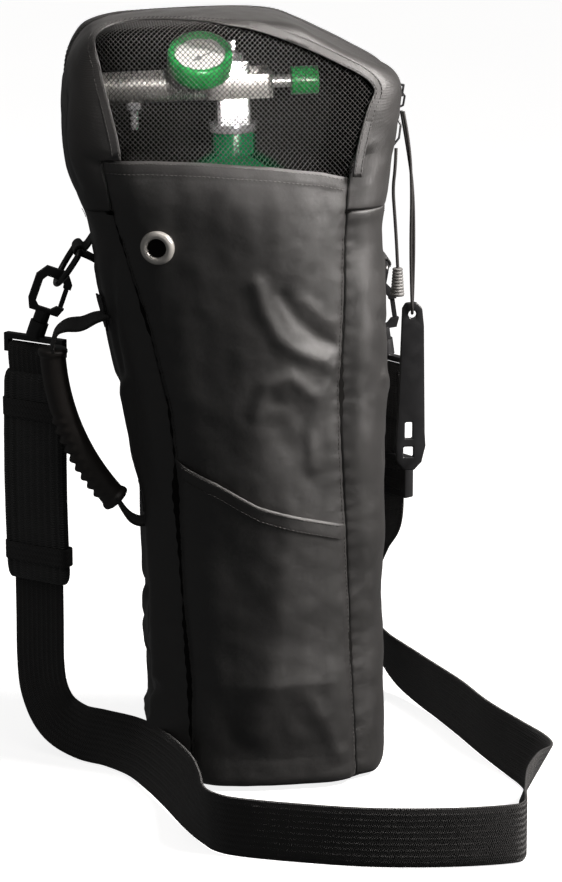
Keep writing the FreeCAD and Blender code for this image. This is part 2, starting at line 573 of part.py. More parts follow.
# ---------------------------------------------------------------- shoulder strap
# One webbing from the left hook, down, round the floor in front and up to the right hook. Each
# station is the middle of the webbing and the direction across it, from its lower edge.
LEFT_X, LEFT_Y = LEFT_FOOT.x - 3.2, 8.0
RIGHT_X, RIGHT_Y = 84.0, 46.0
UPRIGHT = V(0, 0, 1)
STRAP_ROUTE = (
    ("strap_left_fall", (
        (V(LEFT_X, LEFT_Y, 262.0), LEFT_ACROSS),
        (V(LEFT_X, LEFT_Y, 100.0), LEFT_ACROSS))),
    ("strap_left_turn", (
        (V(LEFT_X, LEFT_Y, 62.0), LEFT_ACROSS),
        (V(-144.0, 5.0, 42.0), V(0.80, -0.56, 0.20)),
        (V(-136.0, -1.0, 27.0), V(0.70, -0.40, 0.58)),
        (V(-122.0, -12.0, 20.0), V(0.30, -0.15, 0.93)),
        (V(-106.0, -24.0, 19.2), V(0.05, 0.05, 1.0)),
        (V(-88.0, -42.0, 18.4), V(0.30, 0.12, 0.93)),
        (V(-76.0, -68.0, 17.6), V(0.45, 0.16, 0.88)),
        (V(-66.0, -104.0, 17.6), V(0.45, 0.12, 0.88)),
        (V(-60.0, -142.0, 18.6), V(0.26, 0.06, 0.96)))),
    ("strap_front_run", (
        (V(-55.0, -172.0, 19.2), UPRIGHT),
        (V(-48.0, -186.0, 19.2), UPRIGHT),
        (V(-34.0, -196.0, 19.2), UPRIGHT),
        (V(0.0, -209.0, 19.2), UPRIGHT),
        (V(42.0, -221.0, 19.2), UPRIGHT),
        (V(88.0, -226.0, 19.2), UPRIGHT))),
    ("strap_right_loop", (
        (V(126.0, -224.0, 19.2), UPRIGHT),
        (V(136.0, -217.0, 19.2), UPRIGHT),
        (V(140.0, -196.0, 19.2), UPRIGHT),
        (V(146.0, -160.0, 19.2), V(0.10, 0, 0.99)),
        (V(155.0, -126.0, 18.6), V(0.30, -0.10, 0.95)),
        (V(164.0, -106.0, 17.6), V(0.42, -0.20, 0.88)),
        (V(163.0, -90.0, 17.6), V(0.42, -0.20, 0.88)),
        (V(154.0, -66.0, 18.6), V(0.25, -0.05, 0.96)),
        (V(142.0, -30.0, 19.2), V(0.10, 0.0, 0.99)),
        (V(132.0, 12.0, 19.2), V(0.05, 0.12, 0.99)))),
    ("strap_rise", (
        (V(123.0, 44.0, 19.2), V(0.0, 0.05, 1.0)),
        (V(113.0, 74.0, 20.0), V(0.0, -0.10, 1.0)),
        (V(101.0, 100.0, 25.0), V(0.05, -0.45, 0.90)),
        (V(90.0, 112.0, 40.0), V(0.12, -0.85, 0.50)),
        (V(80.0, 110.0, 60.0), V(0.25, -0.96, 0.05)),
        (V(76.0, 99.0, 86.0), V(0.32, -0.94, -0.12)),
        (V(76.0, 83.0, 110.0), V(0.42, -0.90, -0.10)),
        (V(79.0, 64.0, 132.0), V(0.50, -0.86, -0.05)))),
    ("strap_right_fall", (
        (V(RIGHT_X, RIGHT_Y, 148.0), RIGHT_ACROSS),
        (V(RIGHT_X, RIGHT_Y, 170.0), RIGHT_ACROSS),
        (V(RIGHT_X, RIGHT_Y, 237.0), RIGHT_ACROSS))),
)
PAD_Z = (118.0, 258.0)
PAD_W, PAD_T = 47.0, 7.0
GLIDE_Z = 176.0


def make_strap():
    whole = [station for _name, part in STRAP_ROUTE for station in part]
    sections = ribbon_sections(whole, STRAP_W, STRAP_T)
    first = 0
    for name, part in STRAP_ROUTE:
        end = min(first + len(part), len(whole) - 1)
        keep(name, Part.makeLoft(sections[first:end + 1], True, True))
        first += len(part)
    for name, foot, axis, across in hook_places():
        strap = f"strap_{name}_fall"
        keep(strap, NODES[strap].fuse(strap_eye(foot, axis, across)).removeSplitter())
    pad = upright_slab(V(LEFT_X, LEFT_Y, 0), LEFT_ACROSS, PAD_W / 2, PAD_T / 2, *PAD_Z)
    slot = upright_slab(V(LEFT_X, LEFT_Y, 0), LEFT_ACROSS, STRAP_W / 2 + 0.5, STRAP_T / 2 + 0.4, 0, 300)
    keep("shoulder_pad", pad.cut(slot))
    centre = V(RIGHT_X, RIGHT_Y, 0)
    z = GLIDE_Z
    glide = upright_slab(centre, RIGHT_ACROSS, 25.5, 3.6, z - 14, z + 14)
    glide = glide.cut(upright_slab(centre, RIGHT_ACROSS, 19.6, STRAP_T / 2 + 0.5, z - 20, z + 20))
    for low, high in ((-9.5, -3.0), (3.0, 9.5)):
        glide = glide.cut(upright_slab(centre, RIGHT_ACROSS, 19.6, 6.0, z + low, z + high))
    keep("tri_glide", glide)


# ---------------------------------------------------------------- carry handle
HANDLE_TOP, HANDLE_LOW = V(-105.8, -26.0, 303.0), V(-77.5, -26.0, 184.0)
GRIP_POINTS = (V(-137.0, -26.0, 281.0), V(-125.0, -26.0, 224.0), V(-97.0, -26.0, 180.0))
GRIP_R = 8.6
HANDLE_W, HANDLE_T = 22.0, 2.4


def make_handle():
    a, mid, b = GRIP_POINTS
    arc = Part.Arc(a, mid, b)
    path = Part.Wire([arc.toShape()])
    start = arc.tangent(arc.FirstParameter)[0]
    profile = Part.Wire(Part.makeCircle(GRIP_R, a, start))
    keep("handle_grip", path.makePipeShell([profile], True, False))

    def band(points):
        sections = ribbon_sections([(p, V(0, 1, 0)) for p in points], HANDLE_W, HANDLE_T)
        return Part.makeLoft(sections, True, True)
    upper = band([V(-109.5, -26, 301.5), V(-118.0, -26, 298.5), V(-128.0, -26, 296.5),
                  V(-135.0, -26, 291.0), V(-137.2, -26, 281.4)])
    lower = band([V(-96.4, -26, 179.4), V(-92.0, -26, 173.5), V(-87.0, -26, 170.8), V(-81.5, -26, 172.5)])
    grip = NODES["handle_grip"]
    keep("handle_webbing", Part.makeCompound([upper.cut(grip), lower.cut(grip)]))
    patches = []
    for centre in (HANDLE_TOP, HANDLE_LOW):
        patch = box(centre.x - 20, centre.y - 12, centre.z - 11, centre.x + 20, centre.y + 12, centre.z + 11)
        patches.append(patch.common(bag_form(-0.5).cut(OUTER)).common(
            box(-BIG, -BIG, 0, -20, BIG, BIG * 2)))
    keep("handle_patches", Part.makeCompound(patches))


# ---------------------------------------------------------------- sliders, cords and the wrench
ZIP_DIR = unit(V(11.0, 0, 66.0))    # the straight right side of the zipper
SLIDER_FOOT = V(81.7, ZIP_Y, 434.0)
WRENCH_PLANE_Y = 14.0
PULL_PLANE_Y = 4.5


def slider_middle(z_mid):
    """The middle of a slider's inner face, and the direction out of the bag there."""
    out = unit(V(ZIP_DIR.z, 0, -ZIP_DIR.x))
    along = (z_mid - SLIDER_FOOT.z) / ZIP_DIR.z
    return SLIDER_FOOT + ZIP_DIR * along + out * (BAND + 0.35), out


def zip_slider(z_mid):
    """A slider over both coils, open towards the hood's side so the hood can leave it."""
    c, out = slider_middle(z_mid)

    def block(half_length, y0, y1, thick):
        half = ZIP_DIR * half_length
        corners = [c - half + V(0, y0, 0), c + half + V(0, y0, 0), c + half + V(0, y1, 0),
                   c - half + V(0, y1, 0)]
        return polygon_prism(corners, out * thick)
    plate = block(6.5, -5.5, 7.0, 1.8)
    lip = block(6.5, 5.5, 7.0, -(BAND + 0.2))
    bridge = block(4.0, -1.2, 1.2, 6.2).cut(block(2.6, -3.0, 3.0, 5.0))
    return plate.fuse(lip).fuse(bridge).removeSplitter()


def wire_link(z_mid, corners):
    """A closed loop of thin wire through the slider's bridge."""
    c, out = slider_middle(z_mid)
    points = [c + out * u + V(0, y, 0) + ZIP_DIR * v for u, y, v in corners]
    solid = None
    for a, b in zip(points, points[1:] + points[:1]):
        piece = rod(a, b, LINK_R).fuse(Part.makeSphere(LINK_R, a))
        solid = piece if solid is None else solid.fuse(piece)
    return solid.removeSplitter()


UPPER_SLIDER_Z, LOWER_SLIDER_Z = 436.5, 420.0
LINK_R = 0.7
# Corner points of each wire link, about the middle of its slider: outwards, across and up.
UPPER_LINK = ((3.5, -2.1, 0.6), (3.5, 2.1, 0.6), (8.0, 3.2, -4.0), (8.2, 4.4, -10.0), (4.4, 4.6, -12.6),
              (2.9, -2.8, -8.5))
LOWER_LINK = ((3.5, 2.1, 0.6), (3.5, -2.1, 0.6), (7.6, -3.4, -5.0), (7.6, -5.6, -13.0), (4.8, -6.2, -18.0),
              (2.9, -3.2, -14.0), (2.9, 2.6, -7.5))
LANYARD_TOP = V(90.6, WRENCH_PLANE_Y, 421.0)
WRENCH_HOLE = V(97.5, WRENCH_PLANE_Y, 288.5)
LANYARD = (
    LANYARD_TOP, V(94.5, WRENCH_PLANE_Y - 0.9, 402.0), V(96.4, WRENCH_PLANE_Y - 1.3, 372.0),
    V(95.8, WRENCH_PLANE_Y - 1.9, 336.0), V(96.4, WRENCH_PLANE_Y - 3.0, 306.0),
    V(97.0, WRENCH_PLANE_Y - 4.2, 292.0), V(97.5, WRENCH_PLANE_Y, 288.0),
    V(98.2, WRENCH_PLANE_Y + 4.2, 292.0), V(98.4, WRENCH_PLANE_Y + 3.0, 306.0),
    V(98.6, WRENCH_PLANE_Y + 1.9, 336.0), V(97.6, WRENCH_PLANE_Y + 1.3, 372.0),
    V(93.0, WRENCH_PLANE_Y + 1.8, 402.0), V(89.6, WRENCH_PLANE_Y + 3.0, 421.0),
)
LANYARD_R = 1.0
PULL_CORD = (
    V(84.8, PULL_PLANE_Y, 399.0), V(84.4, PULL_PLANE_Y - 0.8, 387.0), V(82.9, PULL_PLANE_Y, 373.0),
    V(84.4, PULL_PLANE_Y + 0.9, 356.0), V(85.6, PULL_PLANE_Y, 338.0), V(86.4, PULL_PLANE_Y - 0.6, 321.5),
)
PULL_R = 1.1
TIP_Z = (303.0, 321.35)


def make_sliders():
    keep("zip_slider_upper", zip_slider(UPPER_SLIDER_Z))
    keep("zip_slider_lower", zip_slider(LOWER_SLIDER_Z))
    keep("slider_ring", wire_link(UPPER_SLIDER_Z, UPPER_LINK))
    keep("slider_link", wire_link(LOWER_SLIDER_Z, LOWER_LINK))
    keep("pull_cord", round_tube(PULL_CORD, PULL_R))
    end = PULL_CORD[-1]
    keep("pull_tip", Part.makeCone(3.4, 4.3, TIP_Z[1] - TIP_Z[0], V(end.x, end.y, TIP_Z[1]), V(0, 0, -1)))
    keep("lanyard", round_tube(LANYARD, LANYARD_R))


def make_wrench():
    """A flat moulded cylinder wrench: a hole for its cord, a square window and a slot window."""
    y0, t = WRENCH_PLANE_Y - 1.8, V(0, 3.6, 0)
    hx, hz = WRENCH_HOLE.x, WRENCH_HOLE.z
    outline = [(-4.5, 7.5), (2.5, 8.0), (6.5, 4.0), (7.8, -8.0), (9.0, -80.0), (9.6, -88.0), (7.0, -99.0),
               (2.0, -104.5), (-5.0, -104.0), (-9.6, -98.0), (-10.2, -86.0), (-8.6, -60.0), (-7.0, -8.0),
               (-6.6, 4.0)]
    body = polygon_prism([V(hx + x, y0, hz + z) for x, z in outline], t)
    body = body.cut(rod(V(hx, -50, hz), V(hx, 50, hz), 2.6))
    for x0, x1, z0, z1 in ((-4.2, 0.8, -83.0, -72.0), (-5.2, 1.4, -95.5, -88.5)):
        body = body.cut(box(hx + x0, -50, hz + z0, hx + x1, 50, hz + z1))
    keep("cylinder_wrench", body)


# ---------------------------------------------------------------- build
def main():
    make_bag_panels()
    make_pocket()
    make_grommet()
    make_hood()
    make_zipper()
    make_tank()
    make_valve()
    make_regulator()
    make_gauge()
    make_hardware()
    make_strap()
    make_handle()
    make_sliders()
    make_wrench()
    for name, shape in NODES.items():
        solids = len(shape.Solids)
        print(f"{name:24s} solids {solids} valid {shape.isValid()} volume {shape.Volume / 1000:.2f} cm3")
        shape.exportStep(f"parts/{name}.step")
    print(len(NODES), "nodes")


if __name__ == "__main__":
    main()
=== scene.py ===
"""Looks of the oxygen cylinder shoulder bag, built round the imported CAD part.

Lengths in the tables are millimetres and meshes are in metres. +Z is up and -Y is the front.
"""

import math
import bpy
import numpy as np
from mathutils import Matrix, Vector, noise


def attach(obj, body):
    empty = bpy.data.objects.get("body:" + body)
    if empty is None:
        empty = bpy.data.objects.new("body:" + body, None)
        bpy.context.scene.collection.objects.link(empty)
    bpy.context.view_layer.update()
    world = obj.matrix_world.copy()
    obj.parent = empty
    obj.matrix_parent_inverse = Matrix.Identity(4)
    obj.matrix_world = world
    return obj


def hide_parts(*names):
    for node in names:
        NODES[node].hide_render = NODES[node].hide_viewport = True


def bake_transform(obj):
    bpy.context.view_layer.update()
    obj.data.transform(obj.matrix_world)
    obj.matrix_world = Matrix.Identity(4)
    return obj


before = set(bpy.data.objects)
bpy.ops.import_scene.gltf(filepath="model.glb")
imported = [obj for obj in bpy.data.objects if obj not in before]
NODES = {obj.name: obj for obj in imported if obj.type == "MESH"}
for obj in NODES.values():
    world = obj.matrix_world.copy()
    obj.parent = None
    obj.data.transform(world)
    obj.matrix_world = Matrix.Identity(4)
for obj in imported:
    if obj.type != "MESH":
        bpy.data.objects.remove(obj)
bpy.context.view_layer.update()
MM = 0.001

# ---------------------------------------------------------------- form of the bag (as in the CAD)
FOLD_Z = 372.0
ZIP_Y = 10.0
SEAM_BACK_Y = 46.0
CORNER_FRONT, CORNER_BACK = 42.0, 46.0
SECTIONS = np.array((
    (0.0, -71.0, 71.0, -80.0, 66.0), (12.0, -74.0, 73.0, -80.0, 68.0), (100.0, -75.0, 72.0, -71.0, 68.0),
    (183.0, -76.0, 73.0, -71.0, 68.0), (237.0, -88.0, 73.5, -71.0, 67.0), (303.0, -100.0, 73.0, -71.0, 66.0),
    (358.0, -110.0, 69.0, -71.0, 65.0), (372.0, -114.5, 71.3, -71.0, 65.0),
    (400.0, -125.0, 76.0, -69.0, 64.0), (434.0, -127.5, 81.7, -66.0, 62.0),
    (500.0, -127.5, 92.7, -62.0, 56.0)))
TOP_EDGE = ((-127.5, 440.0), (-125.0, 462.0), (-112.0, 479.5), (-97.0, 486.5), (-62.0, 490.0),
            (-22.0, 492.5), (13.0, 488.0), (42.0, 472.0), (74.0, 456.5), (83.7, 447.0))
TOP_SIDE = ((-66.0, 478.0), (-60.0, 488.0), (-40.0, 492.0), (-5.0, 493.5), (28.0, 487.0),
            (50.0, 469.0), (62.0, 441.0))
SEAM_LEFT = np.array(((0, -56.5), (69, -56.5), (113, -60.0), (169, -63.0), (216, -65.0), (249, -68.5),
                      (294, -79.5), (324, -89.0), (363, -101.0), (382, -105.0), (406, -109.0), (500, -112.0)))
SEAM_RIGHT = np.array(((0, 55.0), (88, 51.0), (170, 46.5), (220, 43.0), (263, 42.5), (306, 44.5),
                       (393, 47.0), (500, 50.0)))
SILL = np.array(((-109.0, 406.0), (-77.0, 406.6), (-46.0, 405.5), (-3.5, 402.3),
                 (27.4, 398.0), (47.5, 393.0)))
# edge of the net window, from its right foot over the top to its left foot
NET_EDGE = ((48.3, -66.5, 394.0), (49.6, -66.0, 404.0), (52.2, -64.6, 416.5), (55.4, -63.0, 428.6),
            (58.6, -61.6, 438.3), (61.9, -60.0, 445.5), (59.5, -61.0, 450.8), (46.4, -63.0, 459.3),
            (34.0, -63.0, 466.2), (15.8, -62.0, 475.0), (-14.6, -58.0, 484.6), (-30.0, -55.0, 487.0),
            (-45.0, -47.0, 488.5), (-59.0, -39.0, 488.5), (-74.0, -31.0, 487.8), (-88.0, -27.0, 486.0),
            (-98.0, -30.0, 484.0), (-104.5, -39.0, 481.0), (-107.0, -50.0, 476.0), (-106.8, -58.0, 467.0),
            (-105.0, -60.0, 455.5), (-102.0, -62.0, 443.5), (-99.3, -64.0, 431.4), (-96.5, -65.5, 419.0),
            (-94.8, -66.7, 407.0))


def smoothed(column, sigma=8.0):
    steps = np.arange(-60.0, 601.0)
    raw = np.interp(steps, SECTIONS[:, 0], SECTIONS[:, column])
    reach = np.arange(-30, 31)
    kernel = np.exp(-0.5 * (reach / sigma) ** 2)
    padded = np.pad(raw, 30, mode="edge")
    return steps, np.convolve(padded, kernel / kernel.sum(), mode="valid")


STEPS = smoothed(1)[0]
LIMITS = [smoothed(i)[1] for i in (1, 2, 3, 4)]


def limits(z):
    return [np.interp(z, STEPS, column) for column in LIMITS]


def plan(s, z):
    """Point on the bag's outline in plan. s is the distance along it from the front's middle, + to the
    right."""
    left, right, front, back = limits(z)
    middle, half = (left + right) / 2, (right - left) / 2
    a, side = np.abs(s), np.sign(s)
    w1, c1 = half - CORNER_FRONT, CORNER_FRONT * math.pi / 2
    w2, c2 = (back - CORNER_BACK) - (front + CORNER_FRONT), CORNER_BACK * math.pi / 2
    t1, t2 = (a - w1) / CORNER_FRONT, (a - w1 - c1 - w2) / CORNER_BACK
    where = [a < w1, a < w1 + c1, a < w1 + c1 + w2, a < w1 + c1 + w2 + c2]
    across = [a, w1 + CORNER_FRONT * np.sin(t1), half, half - CORNER_BACK + CORNER_BACK * np.cos(t2)]
    x = np.select(where, across, half - CORNER_BACK - (a - w1 - c1 - w2 - c2))
    deep = [front, front + CORNER_FRONT - CORNER_FRONT * np.cos(t1), front + CORNER_FRONT + a - w1 - c1,
            back - CORNER_BACK + CORNER_BACK * np.sin(t2)]
    y = np.select(where, deep, back)
    return middle + side * x, y


def s_at_x(x, z):
    """Distance along the outline to a point of the front with this x."""
    left, right = limits(z)[:2]
    middle, half = (left + right) / 2, (right - left) / 2
    d = np.abs(x - middle)
    w1 = half - CORNER_FRONT
    bend = np.arcsin(np.clip((d - w1) / CORNER_FRONT, 0, 1))
    return np.sign(x - middle) * np.where(d < w1, d, w1 + CORNER_FRONT * bend)


def s_at_y(y, z, side):
    """Distance along the outline to the point of the left (-1) or right (+1) side with this y."""
    left, right, front, back = limits(z)
    w1 = (right - left) / 2 - CORNER_FRONT
    straight = (back - CORNER_BACK) - (front + CORNER_FRONT)
    past = np.arcsin(np.clip((y - back + CORNER_BACK) / CORNER_BACK, 0, 1)) * CORNER_BACK
    along = np.clip(y - front - CORNER_FRONT, 0, straight)
    return side * (w1 + CORNER_FRONT * math.pi / 2 + along + past)


def outline_place(p):
    """Distance along the outline for points that already lie on the bag's wall."""
    x, y, z = p[..., 0], p[..., 1], p[..., 2]
    left, right, front, back = limits(z)
    middle, half = (left + right) / 2, (right - left) / 2
    side = np.sign(x - middle)
    d = np.abs(x - middle)
    before_back = (half + (math.pi / 2 - 1) * CORNER_FRONT + (back - CORNER_BACK) - (front + CORNER_FRONT)
                   + CORNER_BACK * math.pi / 2)
    on_side = (y < back - 1.0) | (d > half - CORNER_BACK)
    in_front = y < front + CORNER_FRONT
    places = [np.abs(s_at_x(x, z)), np.abs(s_at_y(y, z, 1))]
    return side * np.select([in_front, on_side], places, before_back + half - CORNER_BACK - d)


def half_planes(points):
    rows = []
    for (a0, b0), (a1, b1) in zip(points, points[1:]):
        size = math.hypot(a1 - a0, b1 - b0)
        rows.append((a0, b0, -(b1 - b0) / size, (a1 - a0) / size))
    return rows


EDGE_PLANES, SIDE_PLANES = half_planes(TOP_EDGE), half_planes(TOP_SIDE)


def blunt_max(values, k):
    top = np.max(values, axis=0)
    return top + k * np.log(np.sum(np.exp((values - top) / k), axis=0))


def soft_pair(a, b, k):
    return np.maximum(a, b) + np.maximum(k - np.abs(a - b), 0) ** 2 / (4 * k)


def skin_depth(p):
    """Distance outside the bag's smooth form, negative inside."""
    x, y, z = p[..., 0], p[..., 1], p[..., 2]
    left, right, front, back = limits(z)
    radius = np.where(y < (front + back) / 2, CORNER_FRONT, CORNER_BACK)
    qx = np.abs(x - (left + right) / 2) - (right - left) / 2 + radius
    qy = np.abs(y - (front + back) / 2) - (back - front) / 2 + radius
    wall = np.minimum(np.maximum(qx, qy), 0) + np.hypot(np.maximum(qx, 0), np.maximum(qy, 0)) - radius
    edge = blunt_max(np.stack([(x - a) * na + (z - b) * nb for a, b, na, nb in EDGE_PLANES]), 2.0)
    side = blunt_max(np.stack([(y - a) * na + (z - b) * nb for a, b, na, nb in SIDE_PLANES]), 2.0)
    return soft_pair(wall, soft_pair(edge, side, 5.0), 11.0)


def cast(origin, direction, reach=260.0):
    """Where rays from inside the bag meet its form."""
    low, high = np.zeros(origin.shape[:-1]), np.full(origin.shape[:-1], reach)
    for _step in range(30):
        mid = (low + high) / 2
        inside = skin_depth(origin + direction * mid[..., None]) < 0
        low, high = np.where(inside, mid, low), np.where(inside, high, mid)
    return origin + direction * high[..., None]


def normals_of(p):
    h = 0.6
    grads = [skin_depth(p + np.eye(3)[i] * h) - skin_depth(p - np.eye(3)[i] * h) for i in range(3)]
    n = np.stack(grads, -1)
    return n / np.linalg.norm(n, axis=-1, keepdims=True)


# ---------------------------------------------------------------- folds, puffs and seams of the cloth
# Each fold is a run of points, its half-width and its height (minus is a valley).
FRONT_FOLDS = (
    (((-13, 330), (-8, 312), (1, 295), (15, 285), (30, 279)), 5.5, 3.4),
    (((3, 322), (13, 306), (26, 294), (38, 288)), 4.5, -2.6),
    (((18, 318), (29, 306), (40, 301)), 4.0, 1.5),
    (((27, 366), (17, 343), (11, 328)), 6.0, 1.3),
    (((-14, 248), (-7, 265), (9, 270), (22, 258)), 5.0, 2.5),
    (((9, 235), (9, 232)), 15.0, -3.8),
    (((41, 279), (29, 257), (21, 234), (23, 212)), 4.5, 2.2),
    (((-2, 255), (8, 253), (14, 246)), 5.0, -1.6),
    (((34, 268), (42, 262)), 4.0, -1.4),
    (((-62, 262), (-40, 250), (-20, 236)), 9.0, 1.1),
    (((-84, 380), (-70, 340), (-66, 300)), 10.0, -1.2),
    (((-30, 395), (-24, 360), (-30, 330)), 12.0, 1.2),
)
LEFT_FOLDS = (
    (((-38, 255), (-34, 215), (-40, 150), (-46, 80), (-44, 30)), 7.0, 4.0),
    (((-20, 250), (-14, 200), (-22, 130), (-20, 60)), 5.0, -3.6),
    (((10, 240), (2, 170), (6, 100)), 8.0, 2.8),
    (((-30, 128), (-8, 112), (20, 120)), 5.0, -2.8),
    (((-46, 62), (-22, 48), (8, 56)), 4.5, -3.6),
    (((-34, 88), (-10, 78), (14, 86)), 5.0, 2.6),
    (((-40, 34), (-12, 26), (20, 30)), 4.5, 3.0),
    (((-50, 340), (-40, 300), (-36, 268)), 5.0, -2.2),
    (((-20, 330), (-6, 290), (-8, 262)), 6.0, 2.4),
    (((8, 350), (14, 310), (6, 275)), 6.0, -2.0),
)
RIGHT_FOLDS = (
    (((-48, 300), (-34, 290), (-18, 294)), 4.0, -1.8),
    (((-46, 262), (-30, 252), (-12, 256)), 4.5, 1.6),
    (((-40, 212), (-30, 170), (-34, 110), (-30, 50)), 6.0, -1.8),
    (((-20, 330), (-14, 280), (-18, 220)), 6.0, 1.4),
    (((0, 190), (6, 130), (0, 70)), 8.0, 2.0),
)
BACK_FOLDS = (
    (((-50, 330), (-10, 290), (30, 280)), 9.0, 1.8),
    (((-40, 210), (0, 180), (44, 190)), 9.0, -1.8),
    (((-20, 120), (10, 60)), 12.0, 2.0),
)
HOOD_FOLDS = (
    (((-40, 388), (-30, 410), (-34, 440)), 5.0, -1.8),
    (((-18, 384), (-10, 415), (-16, 450)), 6.0, 1.4),
)


def folds(a, b, table):
    total = np.zeros(np.broadcast(a, b).shape)
    for points, width, height in table:
        nearest = np.full(total.shape, 1e9)
        for (a0, b0), (a1, b1) in zip(points, points[1:]):
            da, db = a1 - a0, b1 - b0
            t = np.clip(((a - a0) * da + (b - b0) * db) / (da * da + db * db), 0, 1)
            nearest = np.minimum(nearest, np.hypot(a - a0 - t * da, b - b0 - t * db))
        total = total + height * np.exp(-(nearest / width) ** 2)
    return total


def bump(d, width):
    return np.exp(-(d / width) ** 2)


def ripple(p, scale, seed):
    flat = p.reshape(-1, 3)
    out = [noise.noise(Vector((x / scale + seed, y / scale, z / scale))) for x, y, z in flat]
    return np.array(out).reshape(p.shape[:-1])


def seam_places(z):
    """Where the four upright seams cross the outline: back left, front left, front right, back right."""
    return (s_at_y(SEAM_BACK_Y, z, -1), s_at_x(np.interp(z, SEAM_LEFT[:, 0], SEAM_LEFT[:, 1]), z),
            s_at_x(np.interp(z, SEAM_RIGHT[:, 0], SEAM_RIGHT[:, 1]), z), s_at_y(SEAM_BACK_Y, z, 1))


RIDGE_X = (-27.0, 20.0)     # the front panel bends between these
RIDGE_RISE = 10.5


def ridge(x, z):
    """Height of the front panel's crown: a flat slope, a broad bend and a steeper slope to the right seam."""
    x0, x1 = RIDGE_X
    left = np.interp(z, SEAM_LEFT[:, 0], SEAM_LEFT[:, 1])
    right = np.interp(z, SEAM_RIGHT[:, 0], SEAM_RIGHT[:, 1])
    rise = RIDGE_RISE + 3.0 * np.clip((z - 250.0) / 130.0, 0, 1)
    up = rise / (x0 - left)
    bend = x1 - x0
    down = (rise + up * bend / 2) / (bend / 2 + right - x1)
    t = np.clip(x - x0, 0, bend)
    curved = up * t - (up + down) * t * t / (2 * bend)
    return up * np.clip(x - left, 0, x0 - left) + curved - down * np.clip(x - x1, 0, None)


def cloth_lift(s, z, p):
    """How far the sewn cloth stands out from the bag's plain form."""
    bl, fl, fr, br = seam_places(z)
    t_left, t_right = np.clip((s - bl) / (fl - bl), 0, 1), np.clip((s - fr) / (br - fr), 0, 1)
    in_front, in_left, in_right = (s >= fl) & (s <= fr), (s > bl) & (s < fl), (s > fr) & (s < br)
    x, y = p[..., 0], p[..., 1]
    lift = np.where(in_front, -4.0 + ridge(x, z) * np.clip(z / 70.0, 0.3, 1.0), 0.0)
    lift += np.where(in_left, -4.0 * bump(s - fl, 12) + 2.5 * np.sin(math.pi * t_left), 0.0)
    lift += np.where(in_right, -4.0 * bump(s - fr, 12) + 2.0 * np.sin(math.pi * t_right), 0.0)
    off_seams = (1 - bump(s - bl, 14)) * (1 - bump(s - br, 14))
    lift += np.where(~(in_front | in_left | in_right), 2.0, 0.0) * off_seams
    quiet = 1 - bump(s - fl, 5) - bump(s - fr, 5)
    lift += np.where(in_front, 0.5 * folds(x, z, FRONT_FOLDS), 0.0) * quiet
    lift += np.where(in_left, folds(y, z, LEFT_FOLDS), 0.0) * (1 - bump(s - fl, 6))
    lift += np.where(in_right, folds(y, z, RIGHT_FOLDS), 0.0) * (1 - bump(s - fr, 6))
    lift += np.where(~(in_front | in_left | in_right), folds(x, z, BACK_FOLDS), 0.0)
    lift += 1.1 * ripple(p, 34.0, 3.0) + 0.35 * ripple(p, 11.0, 9.0)
    lift += 0.5 * ripple(p * (1.0, 1.0, 0.45), 14.0, 21.0)
    for seam in (bl, fl, fr, br):
        d = s - seam
        lift += -0.7 * bump(d, 1.8) + 0.2 * bump(d, 6.0) * np.sin(z * 0.62 + 2.0 * np.sin(z * 0.07))
    foot = np.clip((9.0 - z) / 9.0, 0, 1)
    return lift - 6.0 * (1 - np.sqrt(1 - foot ** 2 * 0.98))


def wall_point(s, z):
    """The cloth's place, in mm, and the way it faces, for arrays of s and z below the rim."""
    x, y = plan(s, z)
    base_z = np.minimum(z, 425.0)
    origin = np.stack([np.full_like(x, -20.0), np.full_like(x, -3.0), base_z], -1)
    aim = np.stack([x, y, z], -1) - origin
    p = cast(origin, aim / np.linalg.norm(aim, axis=-1, keepdims=True))
    n = normals_of(p)
    return p + n * cloth_lift(s, z, p)[..., None], n


HOOD_EYE = np.array((-20.0, ZIP_Y, FOLD_Z))


def dome_point(alpha, tip):
    """A point of the form seen from the zipper's middle. alpha goes over the top from the right, and tip
    leans from the zipper's plane, + to the front."""
    way = np.stack([np.cos(tip) * np.cos(alpha), -np.sin(tip), np.cos(tip) * np.sin(alpha)], -1)
    return cast(np.broadcast_to(HOOD_EYE, way.shape).copy(), way)


# ---------------------------------------------------------------- mesh makers
def new_mesh(name, points, faces, material, uv=None, smooth=True):
    """points in mm; uv is one (u, v) for each point, also in mm."""
    data = bpy.data.meshes.new(name)
    data.from_pydata((np.asarray(points, float) * MM).tolist(), [], [list(map(int, f)) for f in faces])
    if uv is not None:
        layer = data.uv_layers.new(name="mm")
        index = np.empty(len(data.loops), np.int32)
        data.loops.foreach_get("vertex_index", index)
        layer.data.foreach_set("uv", np.asarray(uv, np.float32)[index].ravel())
    data.validate()
    data.polygons.foreach_set("use_smooth", [smooth] * len(data.polygons))
    data.materials.append(material)
    obj = bpy.data.objects.new(name, data)
    bpy.context.scene.collection.objects.link(obj)
    return obj


def grid_faces(rows, cols, wrap=False, flip=False):
    faces = []
    span = cols if wrap else cols - 1
    for i in range(rows - 1):
        for j in range(span):
            k = (j + 1) % cols
            face = (i * cols + j, i * cols + k, (i + 1) * cols + k, (i + 1) * cols + j)
            faces.append(face[::-1] if flip else face)
    return faces


def sheet_mesh(name, points, uv, material, thick=0.9, flip=False):
    """A cloth panel from a grid of points, given thickness inwards."""
    rows, cols = points.shape[:2]
    faces = grid_faces(rows, cols, flip=flip)
    obj = new_mesh(name, points.reshape(-1, 3), faces, material, uv.reshape(-1, 2))
    solid = obj.modifiers.new("thickness", "SOLIDIFY")
    solid.thickness = thick * MM
    solid.offset = -1.0
    return obj


